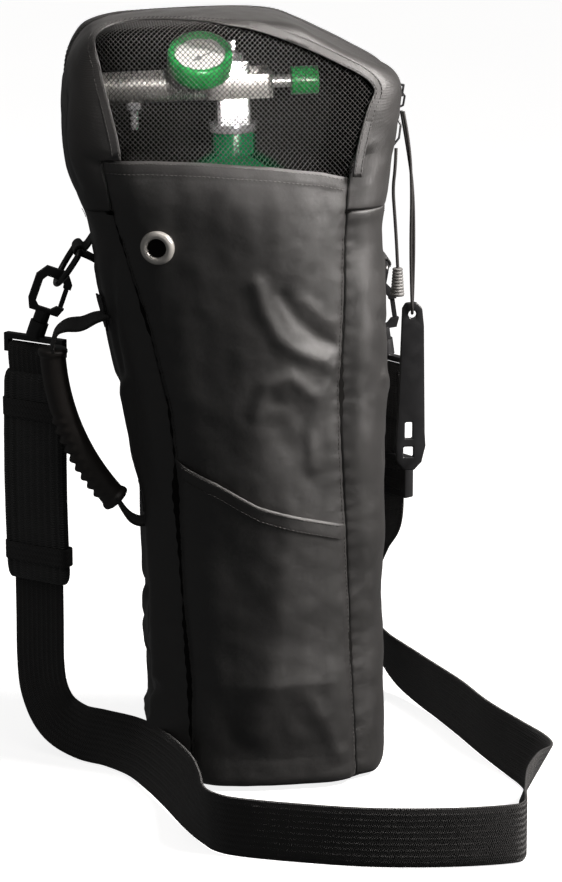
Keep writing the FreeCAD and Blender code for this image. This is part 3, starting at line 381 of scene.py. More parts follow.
def bake(obj):
    """Turn modifiers into plain mesh."""
    graph = bpy.context.evaluated_depsgraph_get()
    data = bpy.data.meshes.new_from_object(obj.evaluated_get(graph))
    obj.modifiers.clear()
    obj.data = data
    return obj


def spline(points, step):
    """Smooth evenly spaced points through a run of points."""
    p = np.asarray(points, float)
    p = np.vstack([2 * p[0] - p[1], p, 2 * p[-1] - p[-2]])
    fine = []
    for i in range(1, len(p) - 2):
        t = np.linspace(0, 1, 24, endpoint=False)[:, None]
        a, b, c, d = p[i - 1], p[i], p[i + 1], p[i + 2]
        square, cube = 2 * a - 5 * b + 4 * c - d, 3 * b - a - 3 * c + d
        fine.append(0.5 * (2 * b + (c - a) * t + square * t ** 2 + cube * t ** 3))
    fine = np.vstack(fine + [p[-2:-1]])
    run = np.concatenate([[0], np.cumsum(np.linalg.norm(np.diff(fine[:, :3], axis=0), axis=1))])
    count = max(3, int(round(run[-1] / step)) + 1)
    at = np.linspace(0, run[-1], count)
    return np.stack([np.interp(at, run, fine[:, i]) for i in range(fine.shape[1])], -1)


def unit_rows(v):
    return v / np.maximum(np.linalg.norm(v, axis=-1, keepdims=True), 1e-9)


def ribbon(name, stations, width, thick, material, step=3.0, closed_ends=True):
    """A flat webbing with round edges through (centre, across) stations."""
    rows = spline([tuple(c) + tuple(w) for c, w in stations], step)
    centre, across = rows[:, :3], unit_rows(rows[:, 3:])
    ahead = unit_rows(np.gradient(centre, axis=0))
    across = unit_rows(across - ahead * np.sum(ahead * across, axis=1, keepdims=True))
    face = unit_rows(np.cross(ahead, across))
    half, h = width / 2, thick / 2
    flat = np.linspace(-half + h, half - h, 9)
    profile = [(a, h) for a in flat] + [(half - h * 0.3, h * 0.7), (half, 0), (half - h * 0.3, -h * 0.7)]
    profile += [(a, -h) for a in flat[::-1]]
    profile += [(-half + h * 0.3, -h * 0.7), (-half, 0), (-half + h * 0.3, h * 0.7)]
    prof = np.array(profile)
    points = centre[:, None] + across[:, None] * prof[None, :, :1] + face[:, None] * prof[None, :, 1:]
    run = np.concatenate([[0], np.cumsum(np.linalg.norm(np.diff(centre, axis=0), axis=1))])
    uv = np.stack(np.broadcast_arrays(prof[None, :, 0], run[:, None]), -1)
    n = len(prof)
    faces = grid_faces(len(rows), n, wrap=True, flip=True)
    if closed_ends:
        faces += [tuple(range(n)), tuple(range((len(rows) - 1) * n, len(rows) * n))[::-1]]
    return new_mesh(name, points.reshape(-1, 3), faces, material, uv.reshape(-1, 2))


def frame_of(axis):
    axis = np.asarray(axis, float) / np.linalg.norm(axis)
    helper = np.array((0.0, 0.0, 1.0)) if abs(axis[2]) < 0.9 else np.array((1.0, 0.0, 0.0))
    u = np.cross(axis, helper)
    u /= np.linalg.norm(u)
    return axis, u, np.cross(axis, u)


def lathe(name, profile, origin, axis, material, n=72):
    """Turned shape: profile is (radius, height along the axis)."""
    axis, u, w = frame_of(axis)
    t = np.linspace(0, 2 * math.pi, n, endpoint=False)
    ring = np.cos(t)[:, None] * u + np.sin(t)[:, None] * w
    points = np.array([np.asarray(origin) + axis * h + ring * r for r, h in profile])
    run = np.concatenate([[0], np.cumsum(np.hypot(*np.diff(np.array(profile), axis=0).T))])
    uv = np.stack(np.broadcast_arrays(t[None, :] * 10, run[:, None]), -1)
    faces = grid_faces(len(profile), n, wrap=True)
    return new_mesh(name, points.reshape(-1, 3), faces, material, uv.reshape(-1, 2))


def stitches(name, runs, material, pitch=2.6, length=1.9, radius=0.26):
    """Sewing thread: short raised stitches along runs of (points, ways the cloth faces)."""
    verts, faces = [], []
    for points, facing in runs:
        rows = spline(np.hstack([points, facing]), 0.65)
        line, face = rows[:, :3], unit_rows(rows[:, 3:])
        run = np.concatenate([[0], np.cumsum(np.linalg.norm(np.diff(line, axis=0), axis=1))])
        for at in np.arange(pitch / 2, run[-1] - pitch / 2, pitch):
            ends = at + np.array((-0.5, -0.25, 0.25, 0.5)) * length
            mid = np.stack([np.interp(ends, run, line[:, i]) for i in range(3)], -1)
            up = np.array([np.interp(at, run, face[:, i]) for i in range(3)])
            ahead = mid[-1] - mid[0]
            ahead /= np.linalg.norm(ahead)
            side = np.cross(up, ahead)
            first = len(verts)
            for centre, lift, size in zip(mid, (-0.1, 0.9, 0.9, -0.1), (0.45, 1.0, 1.0, 0.45)):
                for k in range(5):
                    turn = 2 * math.pi * k / 5
                    verts.append(centre + up * radius * lift
                                 + (side * math.cos(turn) + up * math.sin(turn)) * radius * size)
            for i in range(3):
                for k in range(5):
                    m = (k + 1) % 5
                    ring = first + i * 5
                    faces.append((ring + k, ring + m, ring + 5 + m, ring + 5 + k))
    return new_mesh(name, np.array(verts), faces, material)


def box_mesh(centre, axes, sizes):
    """Corner points and faces of a box with given half sizes, for merging into one mesh."""
    signs = np.array([(i, j, k) for i in (-1, 1) for j in (-1, 1) for k in (-1, 1)], float)
    points = centre + (signs * sizes) @ axes
    faces = [(0, 1, 3, 2), (4, 6, 7, 5), (0, 4, 5, 1), (2, 3, 7, 6), (0, 2, 6, 4), (1, 5, 7, 3)]
    return points, faces


def merge(name, parts, material, smooth=False):
    verts, faces = [], []
    for points, own in parts:
        first = len(verts)
        verts.extend(points)
        faces.extend(tuple(first + i for i in f) for f in own)
    return new_mesh(name, np.array(verts), faces, material, smooth=smooth)


# ---------------------------------------------------------------- materials
def start_material(name, color, rough, metal=0.0):
    made = bpy.data.materials.new(name)
    made.use_nodes = True
    shader = made.node_tree.nodes["Principled BSDF"]
    shader.inputs["Base Color"].default_value = (*color, 1.0)
    shader.inputs["Roughness"].default_value = rough
    shader.inputs["Metallic"].default_value = metal
    return made, made.node_tree, shader


def add(tree, kind, **values):
    node = tree.nodes.new(kind)
    for key, value in values.items():
        if key in node.inputs:
            node.inputs[key].default_value = value
        else:
            setattr(node, key, value)
    return node


def math_node(tree, operation, a, b=None):
    node = tree.nodes.new("ShaderNodeMath")
    node.operation = operation
    for socket, value in zip(node.inputs, (a, b)):
        if value is None:
            continue
        if isinstance(value, (int, float)):
            socket.default_value = value
        else:
            tree.links.new(value, socket)
    return node.outputs[0]


def vary_color(tree, shader, low, high, scale, detail=4.0):
    """Base colour wanders between two near tones, as dye, dust and wear do."""
    place = add(tree, "ShaderNodeTexCoord")
    grain = add(tree, "ShaderNodeTexNoise", Scale=scale, Detail=detail)
    ramp = tree.nodes.new("ShaderNodeValToRGB")
    ramp.color_ramp.elements[0].position, ramp.color_ramp.elements[1].position = 0.35, 0.68
    ramp.color_ramp.elements[0].color = (*low, 1.0)
    ramp.color_ramp.elements[1].color = (*high, 1.0)
    tree.links.new(place.outputs["Object"], grain.inputs["Vector"])
    tree.links.new(grain.outputs["Fac"], ramp.inputs["Fac"])
    tree.links.new(ramp.outputs["Color"], shader.inputs["Base Color"])
    return grain


def vary_rough(tree, shader, grain, low, high):
    scaled = tree.nodes.new("ShaderNodeMapRange")
    scaled.inputs["To Min"].default_value, scaled.inputs["To Max"].default_value = low, high
    tree.links.new(grain.outputs["Fac"], scaled.inputs["Value"])
    tree.links.new(scaled.outputs["Result"], shader.inputs["Roughness"])


def set_bump(tree, shader, height, distance, strength=1.0):
    node = add(tree, "ShaderNodeBump", Strength=strength, Distance=distance)
    tree.links.new(height, node.inputs["Height"])
    tree.links.new(node.outputs["Normal"], shader.inputs["Normal"])


def uv_axes(tree):
    place = add(tree, "ShaderNodeUVMap", uv_map="mm")
    split = add(tree, "ShaderNodeSeparateXYZ")
    tree.links.new(place.outputs["UV"], split.inputs[0])
    return split.outputs[0], split.outputs[1]


def wave(tree, value, pitch):
    return math_node(tree, "SINE", math_node(tree, "MULTIPLY", value, 2 * math.pi / pitch))


def nylon_material(name, low, high, rough, pitch=0.8, sheen=0.06, gloss=0.8):
    """Plain-woven nylon cloth with a soft satin face."""
    made, tree, shader = start_material(name, high, rough)
    grain = vary_color(tree, shader, low, high, 38.0)
    vary_rough(tree, shader, grain, rough - 0.06, rough + 0.08)
    u, v = uv_axes(tree)
    weave = math_node(tree, "MULTIPLY", wave(tree, u, pitch), wave(tree, v, pitch))
    soft = add(tree, "ShaderNodeTexNoise", Scale=95.0, Detail=5.0)
    place = add(tree, "ShaderNodeTexCoord")
    tree.links.new(place.outputs["Object"], soft.inputs["Vector"])
    height = math_node(tree, "ADD", math_node(tree, "MULTIPLY", weave, 0.32),
                       math_node(tree, "MULTIPLY", soft.outputs["Fac"], 2.4))
    set_bump(tree, shader, height, 0.00022, 0.75)
    shader.inputs["Sheen Weight"].default_value = sheen
    shader.inputs["Sheen Roughness"].default_value = 0.45
    shader.inputs["Specular IOR Level"].default_value = gloss
    return made


def webbing_material(name, low, high, across=1.9, along=1.15, rough=0.58):
    """Narrow woven tape: fine cords along it, crossed by close ribs."""
    made, tree, shader = start_material(name, high, rough)
    vary_color(tree, shader, low, high, 60.0)
    u, v = uv_axes(tree)
    cords = math_node(tree, "ABSOLUTE", wave(tree, u, across * 2))
    slant = math_node(tree, "ADD", v, math_node(tree, "MULTIPLY", wave(tree, u, across * 2), 0.45))
    ribs = wave(tree, slant, along)
    low_ribs = math_node(tree, "MULTIPLY", cords, 0.3)
    height = math_node(tree, "ADD", low_ribs, math_node(tree, "MULTIPLY", ribs, 0.8))
    set_bump(tree, shader, height, 0.00032, 0.9)
    shader.inputs["Sheen Weight"].default_value = 0.15
    return made


def plain_material(name, color, rough, metal=0.0, wander=0.25, scale=120.0, dents=0.00004, coat=0.0):
    """Moulded, painted or metal surface with slight wear."""
    made, tree, shader = start_material(name, color, rough, metal)
    low = tuple(c * (1 - wander) for c in color)
    grain = vary_color(tree, shader, low, color, scale)
    vary_rough(tree, shader, grain, max(0.04, rough - 0.06), rough + 0.1)
    fine = add(tree, "ShaderNodeTexNoise", Scale=scale * 6, Detail=3.0)
    place = add(tree, "ShaderNodeTexCoord")
    tree.links.new(place.outputs["Object"], fine.inputs["Vector"])
    set_bump(tree, shader, fine.outputs["Fac"], dents, 0.5)
    shader.inputs["Coat Weight"].default_value = coat
    return made


def turned_material(name, color, rough, scale):
    """Machined metal with fine tool lines across it."""
    # Metallic is held at 0.75, so the pale colour takes some diffuse light: a painted stand-in for
    # reflections of a bright studio.
    made, tree, shader = start_material(name, color, rough, 0.75)
    place = add(tree, "ShaderNodeTexCoord")
    lines = add(tree, "ShaderNodeTexNoise", Scale=60.0, Detail=4.0)
    stretch = add(tree, "ShaderNodeMapping")
    stretch.inputs["Scale"].default_value = (scale, 1.0, 1.0)
    tree.links.new(place.outputs["Object"], stretch.inputs["Vector"])
    tree.links.new(stretch.outputs["Vector"], lines.inputs["Vector"])
    vary_rough(tree, shader, lines, rough - 0.05, rough + 0.15)
    set_bump(tree, shader, lines.outputs["Fac"], 0.00003, 0.5)
    return made


NYLON = nylon_material("black_nylon", (0.0098, 0.0090, 0.0084), (0.0150, 0.0138, 0.0130), 0.48, gloss=1.0)
# The same black nylon made darker and duller as painted shade, for the inside of the bag, the folded gores
# and the eyelet's hole.
NYLON_PAINTED_SHADE = nylon_material("nylon_painted_shade", (0.006, 0.0056, 0.0052), (0.010, 0.0094, 0.009), 0.8,
                            sheen=0.0, gloss=0.1)
NET = plain_material("black_net", (0.011, 0.0105, 0.010), 0.5)
WEBBING = webbing_material("black_webbing", (0.010, 0.0095, 0.009), (0.016, 0.0152, 0.0145))
THREAD = plain_material("thread", (0.055, 0.052, 0.050), 0.55)
ZIP_TAPE = webbing_material("zip_tape", (0.010, 0.0095, 0.009), (0.017, 0.016, 0.0155), 0.8, 0.7)
ZIP_COIL = plain_material("zip_coil", (0.03, 0.029, 0.028), 0.35)
PAD = webbing_material("pad_face", (0.020, 0.0205, 0.020), (0.031, 0.031, 0.030), 2.6, 1.6, 0.5)
GRIP = plain_material("grip_rubber", (0.034, 0.029, 0.026), 0.42, dents=0.00008)
CORD = plain_material("thin_cord", (0.035, 0.033, 0.032), 0.45)
MOULDED = plain_material("black_moulding", (0.020, 0.020, 0.021), 0.30, dents=0.00003)
BLACK_WIRE = plain_material("black_wire", (0.022, 0.022, 0.023), 0.25, coat=0.3)
ENAMEL = plain_material("black_enamel", (0.028, 0.028, 0.030), 0.28, coat=0.4)
TIP = plain_material("tip_rubber", (0.16, 0.157, 0.152), 0.5)
# Nickel and chrome are only part metallic, so their pale colour takes diffuse light: a painted stand-in for
# reflections of a bright studio.
NICKEL = plain_material("nickel", (0.82, 0.79, 0.74), 0.20, 0.6, wander=0.1)
CHROME = plain_material("chrome", (0.78, 0.79, 0.80), 0.13, 0.8, wander=0.08)
BRASS = plain_material("brass", (0.70, 0.52, 0.24), 0.24, 1.0, wander=0.15)
ALUMINIUM = turned_material("aluminium", (0.50, 0.485, 0.465), 0.24, 14.0)
STEEL = turned_material("steel", (0.62, 0.61, 0.60), 0.30, 10.0)
GREEN_PAINT = plain_material("green_paint", (0.004, 0.135, 0.045), 0.22, wander=0.2, coat=0.5)
GREEN_MOULD = plain_material("green_moulding", (0.006, 0.29, 0.052), 0.28, wander=0.15, coat=0.2)
SEAL = plain_material("seal", (0.05, 0.05, 0.05), 0.7)
DIAL = plain_material("dial_white", (0.84, 0.82, 0.79), 0.5, wander=0.04)
INK = plain_material("ink", (0.02, 0.02, 0.02), 0.6)


def glass_material():
    made, tree, shader = start_material("lens", (0.95, 0.97, 0.97), 0.05)
    grain = vary_color(tree, shader, (0.93, 0.95, 0.95), (0.97, 0.98, 0.98), 300.0)
    vary_rough(tree, shader, grain, 0.03, 0.09)
    shader.inputs["Alpha"].default_value = 0.14
    return made


LENS = glass_material()
CARRIED = {
    "oxygen_cylinder": GREEN_PAINT, "valve_body": CHROME, "valve_stem": CHROME, "packing_nut": CHROME,
    "safety_plug": BRASS, "outlet_barb": CHROME, "yoke": ALUMINIUM, "regulator_body": ALUMINIUM,
    "flow_knob": ALUMINIUM, "yoke_screw": STEEL, "yoke_screw_knob": GREEN_MOULD, "inlet_washer": SEAL,
    "gauge_case": STEEL, "gauge_dial": DIAL, "gauge_needle": INK, "gauge_lens": LENS,
    "swivel_base_left": MOULDED, "swivel_base_right": MOULDED, "snap_hook_left": MOULDED,
    "snap_hook_right": MOULDED, "hook_gate_left": MOULDED, "hook_gate_right": MOULDED, "tri_glide": MOULDED,
    "cylinder_wrench": MOULDED, "d_ring_left": BLACK_WIRE, "d_ring_right": BLACK_WIRE,
    "zip_slider_upper": ENAMEL, "zip_slider_lower": ENAMEL, "slider_ring": ENAMEL, "slider_link": ENAMEL,
    "grommet_washer": NICKEL,
}
SOFT_EDGES = {
    "yoke": 0.5, "yoke_screw_knob": 0.8, "flow_knob": 0.6, "regulator_body": 0.5, "swivel_base_left": 0.6,
    "swivel_base_right": 0.6, "snap_hook_left": 1.1, "snap_hook_right": 1.1, "hook_gate_left": 0.4,
    "hook_gate_right": 0.4, "tri_glide": 0.8, "cylinder_wrench": 0.9, "zip_slider_upper": 0.35,
    "zip_slider_lower": 0.35, "valve_body": 0.4, "packing_nut": 0.4, "valve_stem": 0.3, "safety_plug": 0.4,
}


def dress_carried():
    """The hard CAD parts keep their own shape, with softened edges and their finishes; the part-metallic
    metals carry painted reflection.
    """
    for name, material in CARRIED.items():
        obj = NODES[name]
        obj.data.materials.clear()
        obj.data.materials.append(material)
        obj.data.polygons.foreach_set("use_smooth", [True] * len(obj.data.polygons))
        weld = obj.modifiers.new("weld", "WELD")
        weld.merge_threshold = 0.00001
        bevel = obj.modifiers.new("edges", "BEVEL")
        bevel.width = SOFT_EDGES.get(name, 0.15) * MM
        bevel.segments = 3
        bevel.limit_method = "ANGLE"
        bevel.angle_limit = math.radians(35)
        bevel.harden_normals = True


# ---------------------------------------------------------------- the sewn shell
def panel_grid(s0, s1, z_low, z_high, cols, rows):
    """s0 and s1 give the two edges at a height; z_low and z_high the ends at a share across."""
    share = np.linspace(0, 1, cols)[None, :]
    climb = np.linspace(0, 1, rows)[:, None]
    z = z_low + (z_high(share) - z_low) * climb
    s = s0(z) + (s1(z) - s0(z)) * share
    return s, z


def cloth_panel(name, s, z, material=NYLON, extra=None):
    p, n = wall_point(s, z)
    if extra is not None:
        p = p + n * extra[..., None]
    return sheet_mesh(name, p, np.stack([s, z], -1), material, flip=False)


def sill_at(x):
    return np.interp(x, SILL[:, 0], SILL[:, 1])


def make_front_panel():
    def top(share):
        x = -109.0 + share * (47.3 + 109.0)
        return sill_at(x)
    s, z = panel_grid(lambda h: seam_places(h)[1], lambda h: seam_places(h)[2], 3.0, top, 80, 210)
    below = z[-1:, :] - z
    hem = 0.35 * np.clip((10.0 - below) / 1.2, 0, 1) - 0.45 * bump(below, 0.7) - 0.2 * bump(below - 9.0, 1.2)
    obj = bake(cloth_panel("front_panel_cloth", s, z, extra=hem))
    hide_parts("front_panel", "hood_front_strip")
    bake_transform(obj)
    runs = []
    for drop in (1.8, 8.4):
        ss, zz = s[-1:, 2:-2], z[-1:, 2:-2] - drop
        p, n = wall_point(ss, zz)
        runs.append(((p + n * 1.0)[0], n[0]))
    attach(stitches("sill_stitching", runs, THREAD, 2.9, 2.2, 0.24), "hood")
    runs = []
    for side, off in ((1, 2.4), (2, -2.4)):
        h = np.arange(6.0, 360.0, 4.0)[None, :]
        p, n = wall_point(seam_places(h)[side] + off, h)
        runs.append(((p + n * 0.1)[0], n[0]))
    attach(stitches("front_seam_stitching", runs, THREAD, 2.9, 2.2, 0.2), "bag")


def make_gussets():
    for name, first, last, node in (("left", 0, 1, "gusset_left"), ("right", 2, 3, "gusset_right")):
        s, z = panel_grid(lambda h: seam_places(h)[first], lambda h: seam_places(h)[last], 3.0,
                          lambda share: FOLD_Z - 0.1 + 0 * share, 70, 190)
        edge = FOLD_Z - z
        obj = cloth_panel(f"gusset_{name}_cloth", s, z, extra=0.3 * bump(edge - 4, 3) - 0.3 * bump(edge, 1.0))
        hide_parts(node)
        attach(obj, "bag")
        h = np.full((1, 36), FOLD_Z - 6.5)
        side = -1 if name == "left" else 1
        inner, outer = s_at_y(-48.0, h, side), s_at_y(5.0, h, side)
        across = inner + (outer - inner) * np.linspace(0, 1, 36)[None, :]
        p, n = wall_point(across, h)
        run = ((p + n * 0.8)[0], n[0])
        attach(stitches(f"gusset_{name}_stitching", [run], THREAD, 2.9, 2.2, 0.2), "bag")


def make_back():
    """The back panel: round the back from seam to seam, then over the zipper's far side."""
    share = np.linspace(0, 1, 110)[None, :]
    z = (3.0 + (FOLD_Z - 3.0) * np.linspace(0, 1, 190))[:, None]
    left, right, front, back = limits(z)
    whole = 2 * ((right - left) / 2 - CORNER_FRONT + CORNER_FRONT * math.pi / 2
                 + (back - CORNER_BACK) - (front + CORNER_FRONT)
                 + CORNER_BACK * math.pi / 2 + (right - left) / 2 - CORNER_BACK)
    s0 = seam_places(z)[3]
    s = s0 + (whole - 2 * s0) * share
    folded = np.where(s > whole / 2, s - whole, s)
    p, n = wall_point(folded, z + 0 * s)
    obj = sheet_mesh("back_panel_cloth", p, np.stack([s, z + 0 * s], -1), NYLON)
    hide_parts("back_panel")
    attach(obj, "bag")
    alpha = np.linspace(0, math.pi, 150)[None, :]
    tip = (-math.pi / 2 * np.linspace(0.012, 0.985, 60) ** 0.9)[:, None]
    alpha, tip = np.broadcast_arrays(alpha, tip)
    p = dome_point(alpha, tip)
    n = normals_of(p)
    lift = 1.0 * ripple(p, 30.0, 6.0) - 1.2 * bump(p[..., 1] - ZIP_Y, 3.0)
    lift = meet_wall(p, lift, 14.0)
    p = p + n * lift[..., None]
    uv = np.stack([alpha * 90.0, tip * 90.0], -1)
    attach(sheet_mesh("back_top_cloth", p, uv, NYLON, flip=False), "bag")


def meet_wall(p, lift, over):
    """Cloth above the fold line starts at the same height as the wall under it."""
    share = np.clip((p[..., 2] - FOLD_Z) / over, 0, 1)
    wall = cloth_lift(outline_place(p), p[..., 2], p) - 0.3 * bump(p[..., 2] - FOLD_Z, 1.5)
    return share * lift + (1 - share) * wall


def make_base():
    z = 2.2
    ring = np.linspace(-1, 1, 120, endpoint=False)
    s = np.sign(ring) * np.abs(ring) * 243.0
    x, y = plan(s, np.full_like(s, 6.0))
    centre = np.array((-2.0, -5.0))
    points = []
    for k, lift in ((0.955, 2.5), (0.93, 0.2), (0.8, 0.0), (0.4, 0.0), (0.02, 0.0)):
        level = np.full_like(x, z + lift)
        points.append(np.stack([centre[0] + (x - centre[0]) * k, centre[1] + (y - centre[1]) * k, level], -1))
    grid = np.array(points)
    obj = new_mesh("base_cloth", grid.reshape(-1, 3), grid_faces(len(points), 120, wrap=True), NYLON,
                   grid.reshape(-1, 3)[:, :2])
    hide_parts("base_panel")
    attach(obj, "bag")


def pocket_mouth(x):
    return np.interp(x, (-66.0, -39.0, -11.0, 2.0, 27.0, 46.0), (216.5, 205.0, 190.0, 185.5, 177.5, 171.0))


def pocket_lift(s, z, share, below):
    full = np.sin(math.pi * share)
    mouth = np.clip(1 - below / 60.0, 0, 1)
    lift = 1.6 + 1.4 * full ** 0.6 + 3.0 * full * mouth ** 1.5
    lift += 0.4 * np.clip((11.0 - below) / 1.0, 0, 1) - 0.5 * bump(below, 0.7)
    x = plan(s, z)[0]
    lift += folds(x, z, (
        (((2, 150), (3, 110), (-6, 70), (-18, 40)), 9.0, 1.6),
        (((-46, 78), (-34, 50), (-22, 30)), 7.0, -1.5),
        (((20, 60), (32, 40), (40, 22)), 6.0, 1.0),
        (((-30, 160), (-20, 120), (-30, 90)), 12.0, -0.8)))
    return lift * np.clip(np.minimum(share, 1 - share) * 16, 0.18, 1)


def make_pocket():
    def top(share):
        return pocket_mouth(-64.0 + share * 110.0)
    s, z = panel_grid(lambda h: seam_places(h)[1] + 0.6, lambda h: seam_places(h)[2] - 0.2, 3.5, top, 80, 120)
    share = np.linspace(0, 1, 80)[None, :] + 0 * z
    below = z[-1:, :] - z
    obj = cloth_panel("front_pocket_cloth", s, z, extra=pocket_lift(s, z, share, below))
    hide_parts("front_pocket")
    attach(obj, "bag")
    runs = []
    for drop in (1.6, 9.6):
        cut = slice(2, -2)
        ss, zz = s[-1:, cut], z[-1:, cut] - drop
        p, n = wall_point(ss, zz)
        p = p + n * (pocket_lift(ss, zz, share[-1:, cut], np.full_like(zz, drop)) + 0.2)[..., None]
        runs.append((p[0], n[0]))
    for side, off in ((1, 3.0), (2, -3.0)):
        h = np.arange(8.0, 168.0, 4.0)[None, :]
        ss = seam_places(h)[side] + off
        p, n = wall_point(ss, h)
        runs.append(((p + n * 1.7)[0], n[0]))
    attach(stitches("pocket_stitching", runs, THREAD, 2.9, 2.2, 0.24), "bag")


# ---------------------------------------------------------------- the hood, its net and the zipper
def front_skin(x, z):
    """The form's front at these x and z, from inside."""
    x, z = np.broadcast_arrays(np.asarray(x, float), np.asarray(z, float))
    origin = np.stack([x, np.full_like(x, -15.0), z], -1)
    return cast(origin, np.broadcast_to(np.array((0.0, -1.0, 0.0)), origin.shape), 120.0)


def from_hood_eye(points):
    """Points moved along their rays from the hood's middle onto the form."""
    way = unit_rows(np.asarray(points, float) - HOOD_EYE)
    return cast(np.broadcast_to(HOOD_EYE, way.shape).copy(), way)


def hood_edge():
    """The front edge of the hood's cloth: up the right seam, round the net and down the left seam."""
    right = front_skin([45.5, 46.6], [FOLD_Z + 0.4, 385.0])
    left = front_skin([-102.0, -108.6, -105.5, -103.5], [406.8, 405.5, 385.0, FOLD_Z + 0.4])
    return np.vstack([right, NET_CURVE, left])


NET_CURVE = from_hood_eye(spline(NET_EDGE, 2.0))


def edge_height(alpha, alpha_edge, edge):
    """Height of the hood cloth's front edge in each direction round the hood."""
    return np.interp(alpha, alpha_edge, edge[:, 2])


def make_hood_cloth():
    edge = hood_edge()
    rel = edge - HOOD_EYE
    alpha_edge = np.arctan2(rel[:, 2], rel[:, 0])
    tip_edge = np.arctan2(-rel[:, 1], np.hypot(rel[:, 0], rel[:, 2]))
    alpha = np.unique(np.concatenate([np.linspace(alpha_edge[0], alpha_edge[-1], 150), alpha_edge]))
    tip_end = np.interp(alpha, alpha_edge, tip_edge)
    share = np.linspace(0.004, 1, 44)[:, None]
    tip = share * tip_end[None, :]
    alpha = np.broadcast_to(alpha[None, :], tip.shape)
    p = dome_point(alpha, tip)
    n = normals_of(p)
    side = np.clip((np.abs(p[..., 0] + 20) - 60) / 20, 0, 1)
    lift = 1.0 * ripple(p, 30.0, 2.0) + 0.3 * ripple(p, 9.0, 5.0)
    lift = lift + side * folds(p[..., 1], p[..., 2], HOOD_FOLDS)
    lift += -1.2 * bump(p[..., 1] - ZIP_Y, 3.0)
    low = np.clip((p[..., 2] - FOLD_Z) / 6.0, 0, 1)
    beside = np.clip((408.0 - edge_height(alpha, alpha_edge, edge)) / 6.0, 0, 1)
    lift -= 4.6 * bump((1 - share) * 70.0, 8.0) * beside
    lift += low * 1.6 * np.sin(math.pi * np.clip(share, 0, 1))
    lift = meet_wall(p, lift, 22.0)
    p = p + n * lift[..., None]
    uv = np.stack([alpha * 95.0, tip * 80.0], -1)
    obj = sheet_mesh("hood_cloth", p, uv, NYLON, flip=True)
    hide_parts("hood_top", "hood_side_left", "hood_side_right")
    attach(obj, "hood")
    return obj


def inside_polygon(x, z, polygon):
    inside = np.zeros(np.shape(x), bool)
    for (x0, z0), (x1, z1) in zip(polygon, np.roll(polygon, -1, axis=0)):
        crosses = (z0 > z) != (z1 > z)
        with np.errstate(divide="ignore", invalid="ignore"):
            at = x0 + (z - z0) * (x1 - x0) / (z1 - z0)
        inside ^= crosses & (x < at)
    return inside


NET_PITCH = (3.15, 3.3)    # width and height of one diamond of the net
VIEW_DROP = 0.26           # how much a step back lowers a point of the net's outline as it is drawn flat


def flat_view(p):
    return np.stack([p[..., 0], p[..., 2] + VIEW_DROP * p[..., 1]], -1)


def make_net():
    """A real knotted net: a lattice of diamonds over the hood's front, cut to the window and given thread."""
    du, dz = NET_PITCH
    rows, cols = int(168 / (dz / 2)), int(214 / du)
    column = -122.0 + np.arange(cols * 2) * du / 2
    bx, by = plan(column, np.full(cols * 2, 440.0))
    foot = np.stack([np.clip(bx, -98.0, 52.0), np.full_like(bx, -3.0), np.full_like(bx, 430.0)], -1)
    lean = np.radians(np.linspace(-45.0, 84.0, 130))
    out = unit_rows(np.stack([bx, by], -1) - foot[:, :2])
    way = np.stack(np.broadcast_arrays(out[:, None, 0] * np.cos(lean), out[:, None, 1] * np.cos(lean),
                                       np.sin(lean)[None, :]), -1)
    trace = cast(np.broadcast_to(foot[:, None], way.shape).copy(), way)
    p = np.empty((rows, cols, 3))
    for i in range(rows):
        for j in range(cols):
            line = trace[2 * j + (i % 2)]
            run = np.concatenate([[0], np.cumsum(np.linalg.norm(np.diff(line, axis=0), axis=1))])
            start = np.interp(385.0, line[:60, 2], run[:60])
            p[i, j] = [np.interp(start + i * dz / 2, run, line[:, k]) for k in range(3)]
    n = normals_of(p)
    x, z = p[..., 0], p[..., 2]
    sag = 0.8 * ripple(p, 26.0, 4.0) + 1.6 * np.exp(-((x + 20) / 55.0) ** 2) * np.sin(
        math.pi * np.clip((z - 395) / 90, 0, 1))
    tuck = np.clip((sill_at(x) + 10.0 - z) / 10.0, 0, 1)
    p = p + n * (tuck * (cloth_lift(outline_place(p), z, p) - 1.3) + (1 - tuck) * (sag + 0.2))[..., None]
    foot_line = front_skin(SILL[:0:-1, 0], SILL[:0:-1, 1] - 4.0)
    polygon = flat_view(np.vstack([NET_CURVE, foot_line[::-1]]))
    seen = flat_view(p)
    keep = inside_polygon(seen[..., 0], seen[..., 1], polygon) & (p[..., 1] < -20.0)
    faces = []
    for r in range(rows - 2):
        shift = r % 2
        for c in range(cols - 1):
            left, right = c - 1 + shift, c + shift
            if left < 0:
                continue
            quad = ((r, c), (r + 1, right), (r + 2, c), (r + 1, left))
            if all(keep[q] for q in quad):
                faces.append([q[0] * cols + q[1] for q in quad])
    used = sorted({v for f in faces for v in f})
    index = {v: k for k, v in enumerate(used)}
    flat = p.reshape(-1, 3)[used]
    obj = new_mesh("window_net", flat, [[index[v] for v in f] for f in faces], NET)
    wire = obj.modifiers.new("thread", "WIREFRAME")
    wire.thickness = 0.66 * MM
    wire.use_even_offset = False
    wire.use_replace = True
    obj = bake(obj)
    obj.data.polygons.foreach_set("use_smooth", [True] * len(obj.data.polygons))
    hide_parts("mesh_window")
    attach(obj, "hood")
    return obj


def make_borders():
    """The tape sewn round the net, just outside it."""
    line = from_hood_eye(spline(NET_EDGE, 2.5))
    n = normals_of(line)
    ahead = unit_rows(np.gradient(line, axis=0))
    across = unit_rows(np.cross(n, ahead))
    width = 6.4
    line = from_hood_eye(line - across * width * 0.42)
    n = normals_of(line)
    stations = [(tuple(a), tuple(b)) for a, b in zip((line + n * 0.9)[::2], across[::2])]
    band = ribbon("net_binding", stations, width, 1.0, NYLON, 3.0)
    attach(band, "hood")
    runs = [(line + n * 1.5 + across * off, n) for off in (-2.0, 2.0)]
    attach(stitches("net_stitching", runs, THREAD, 2.9, 2.2, 0.22), "hood")


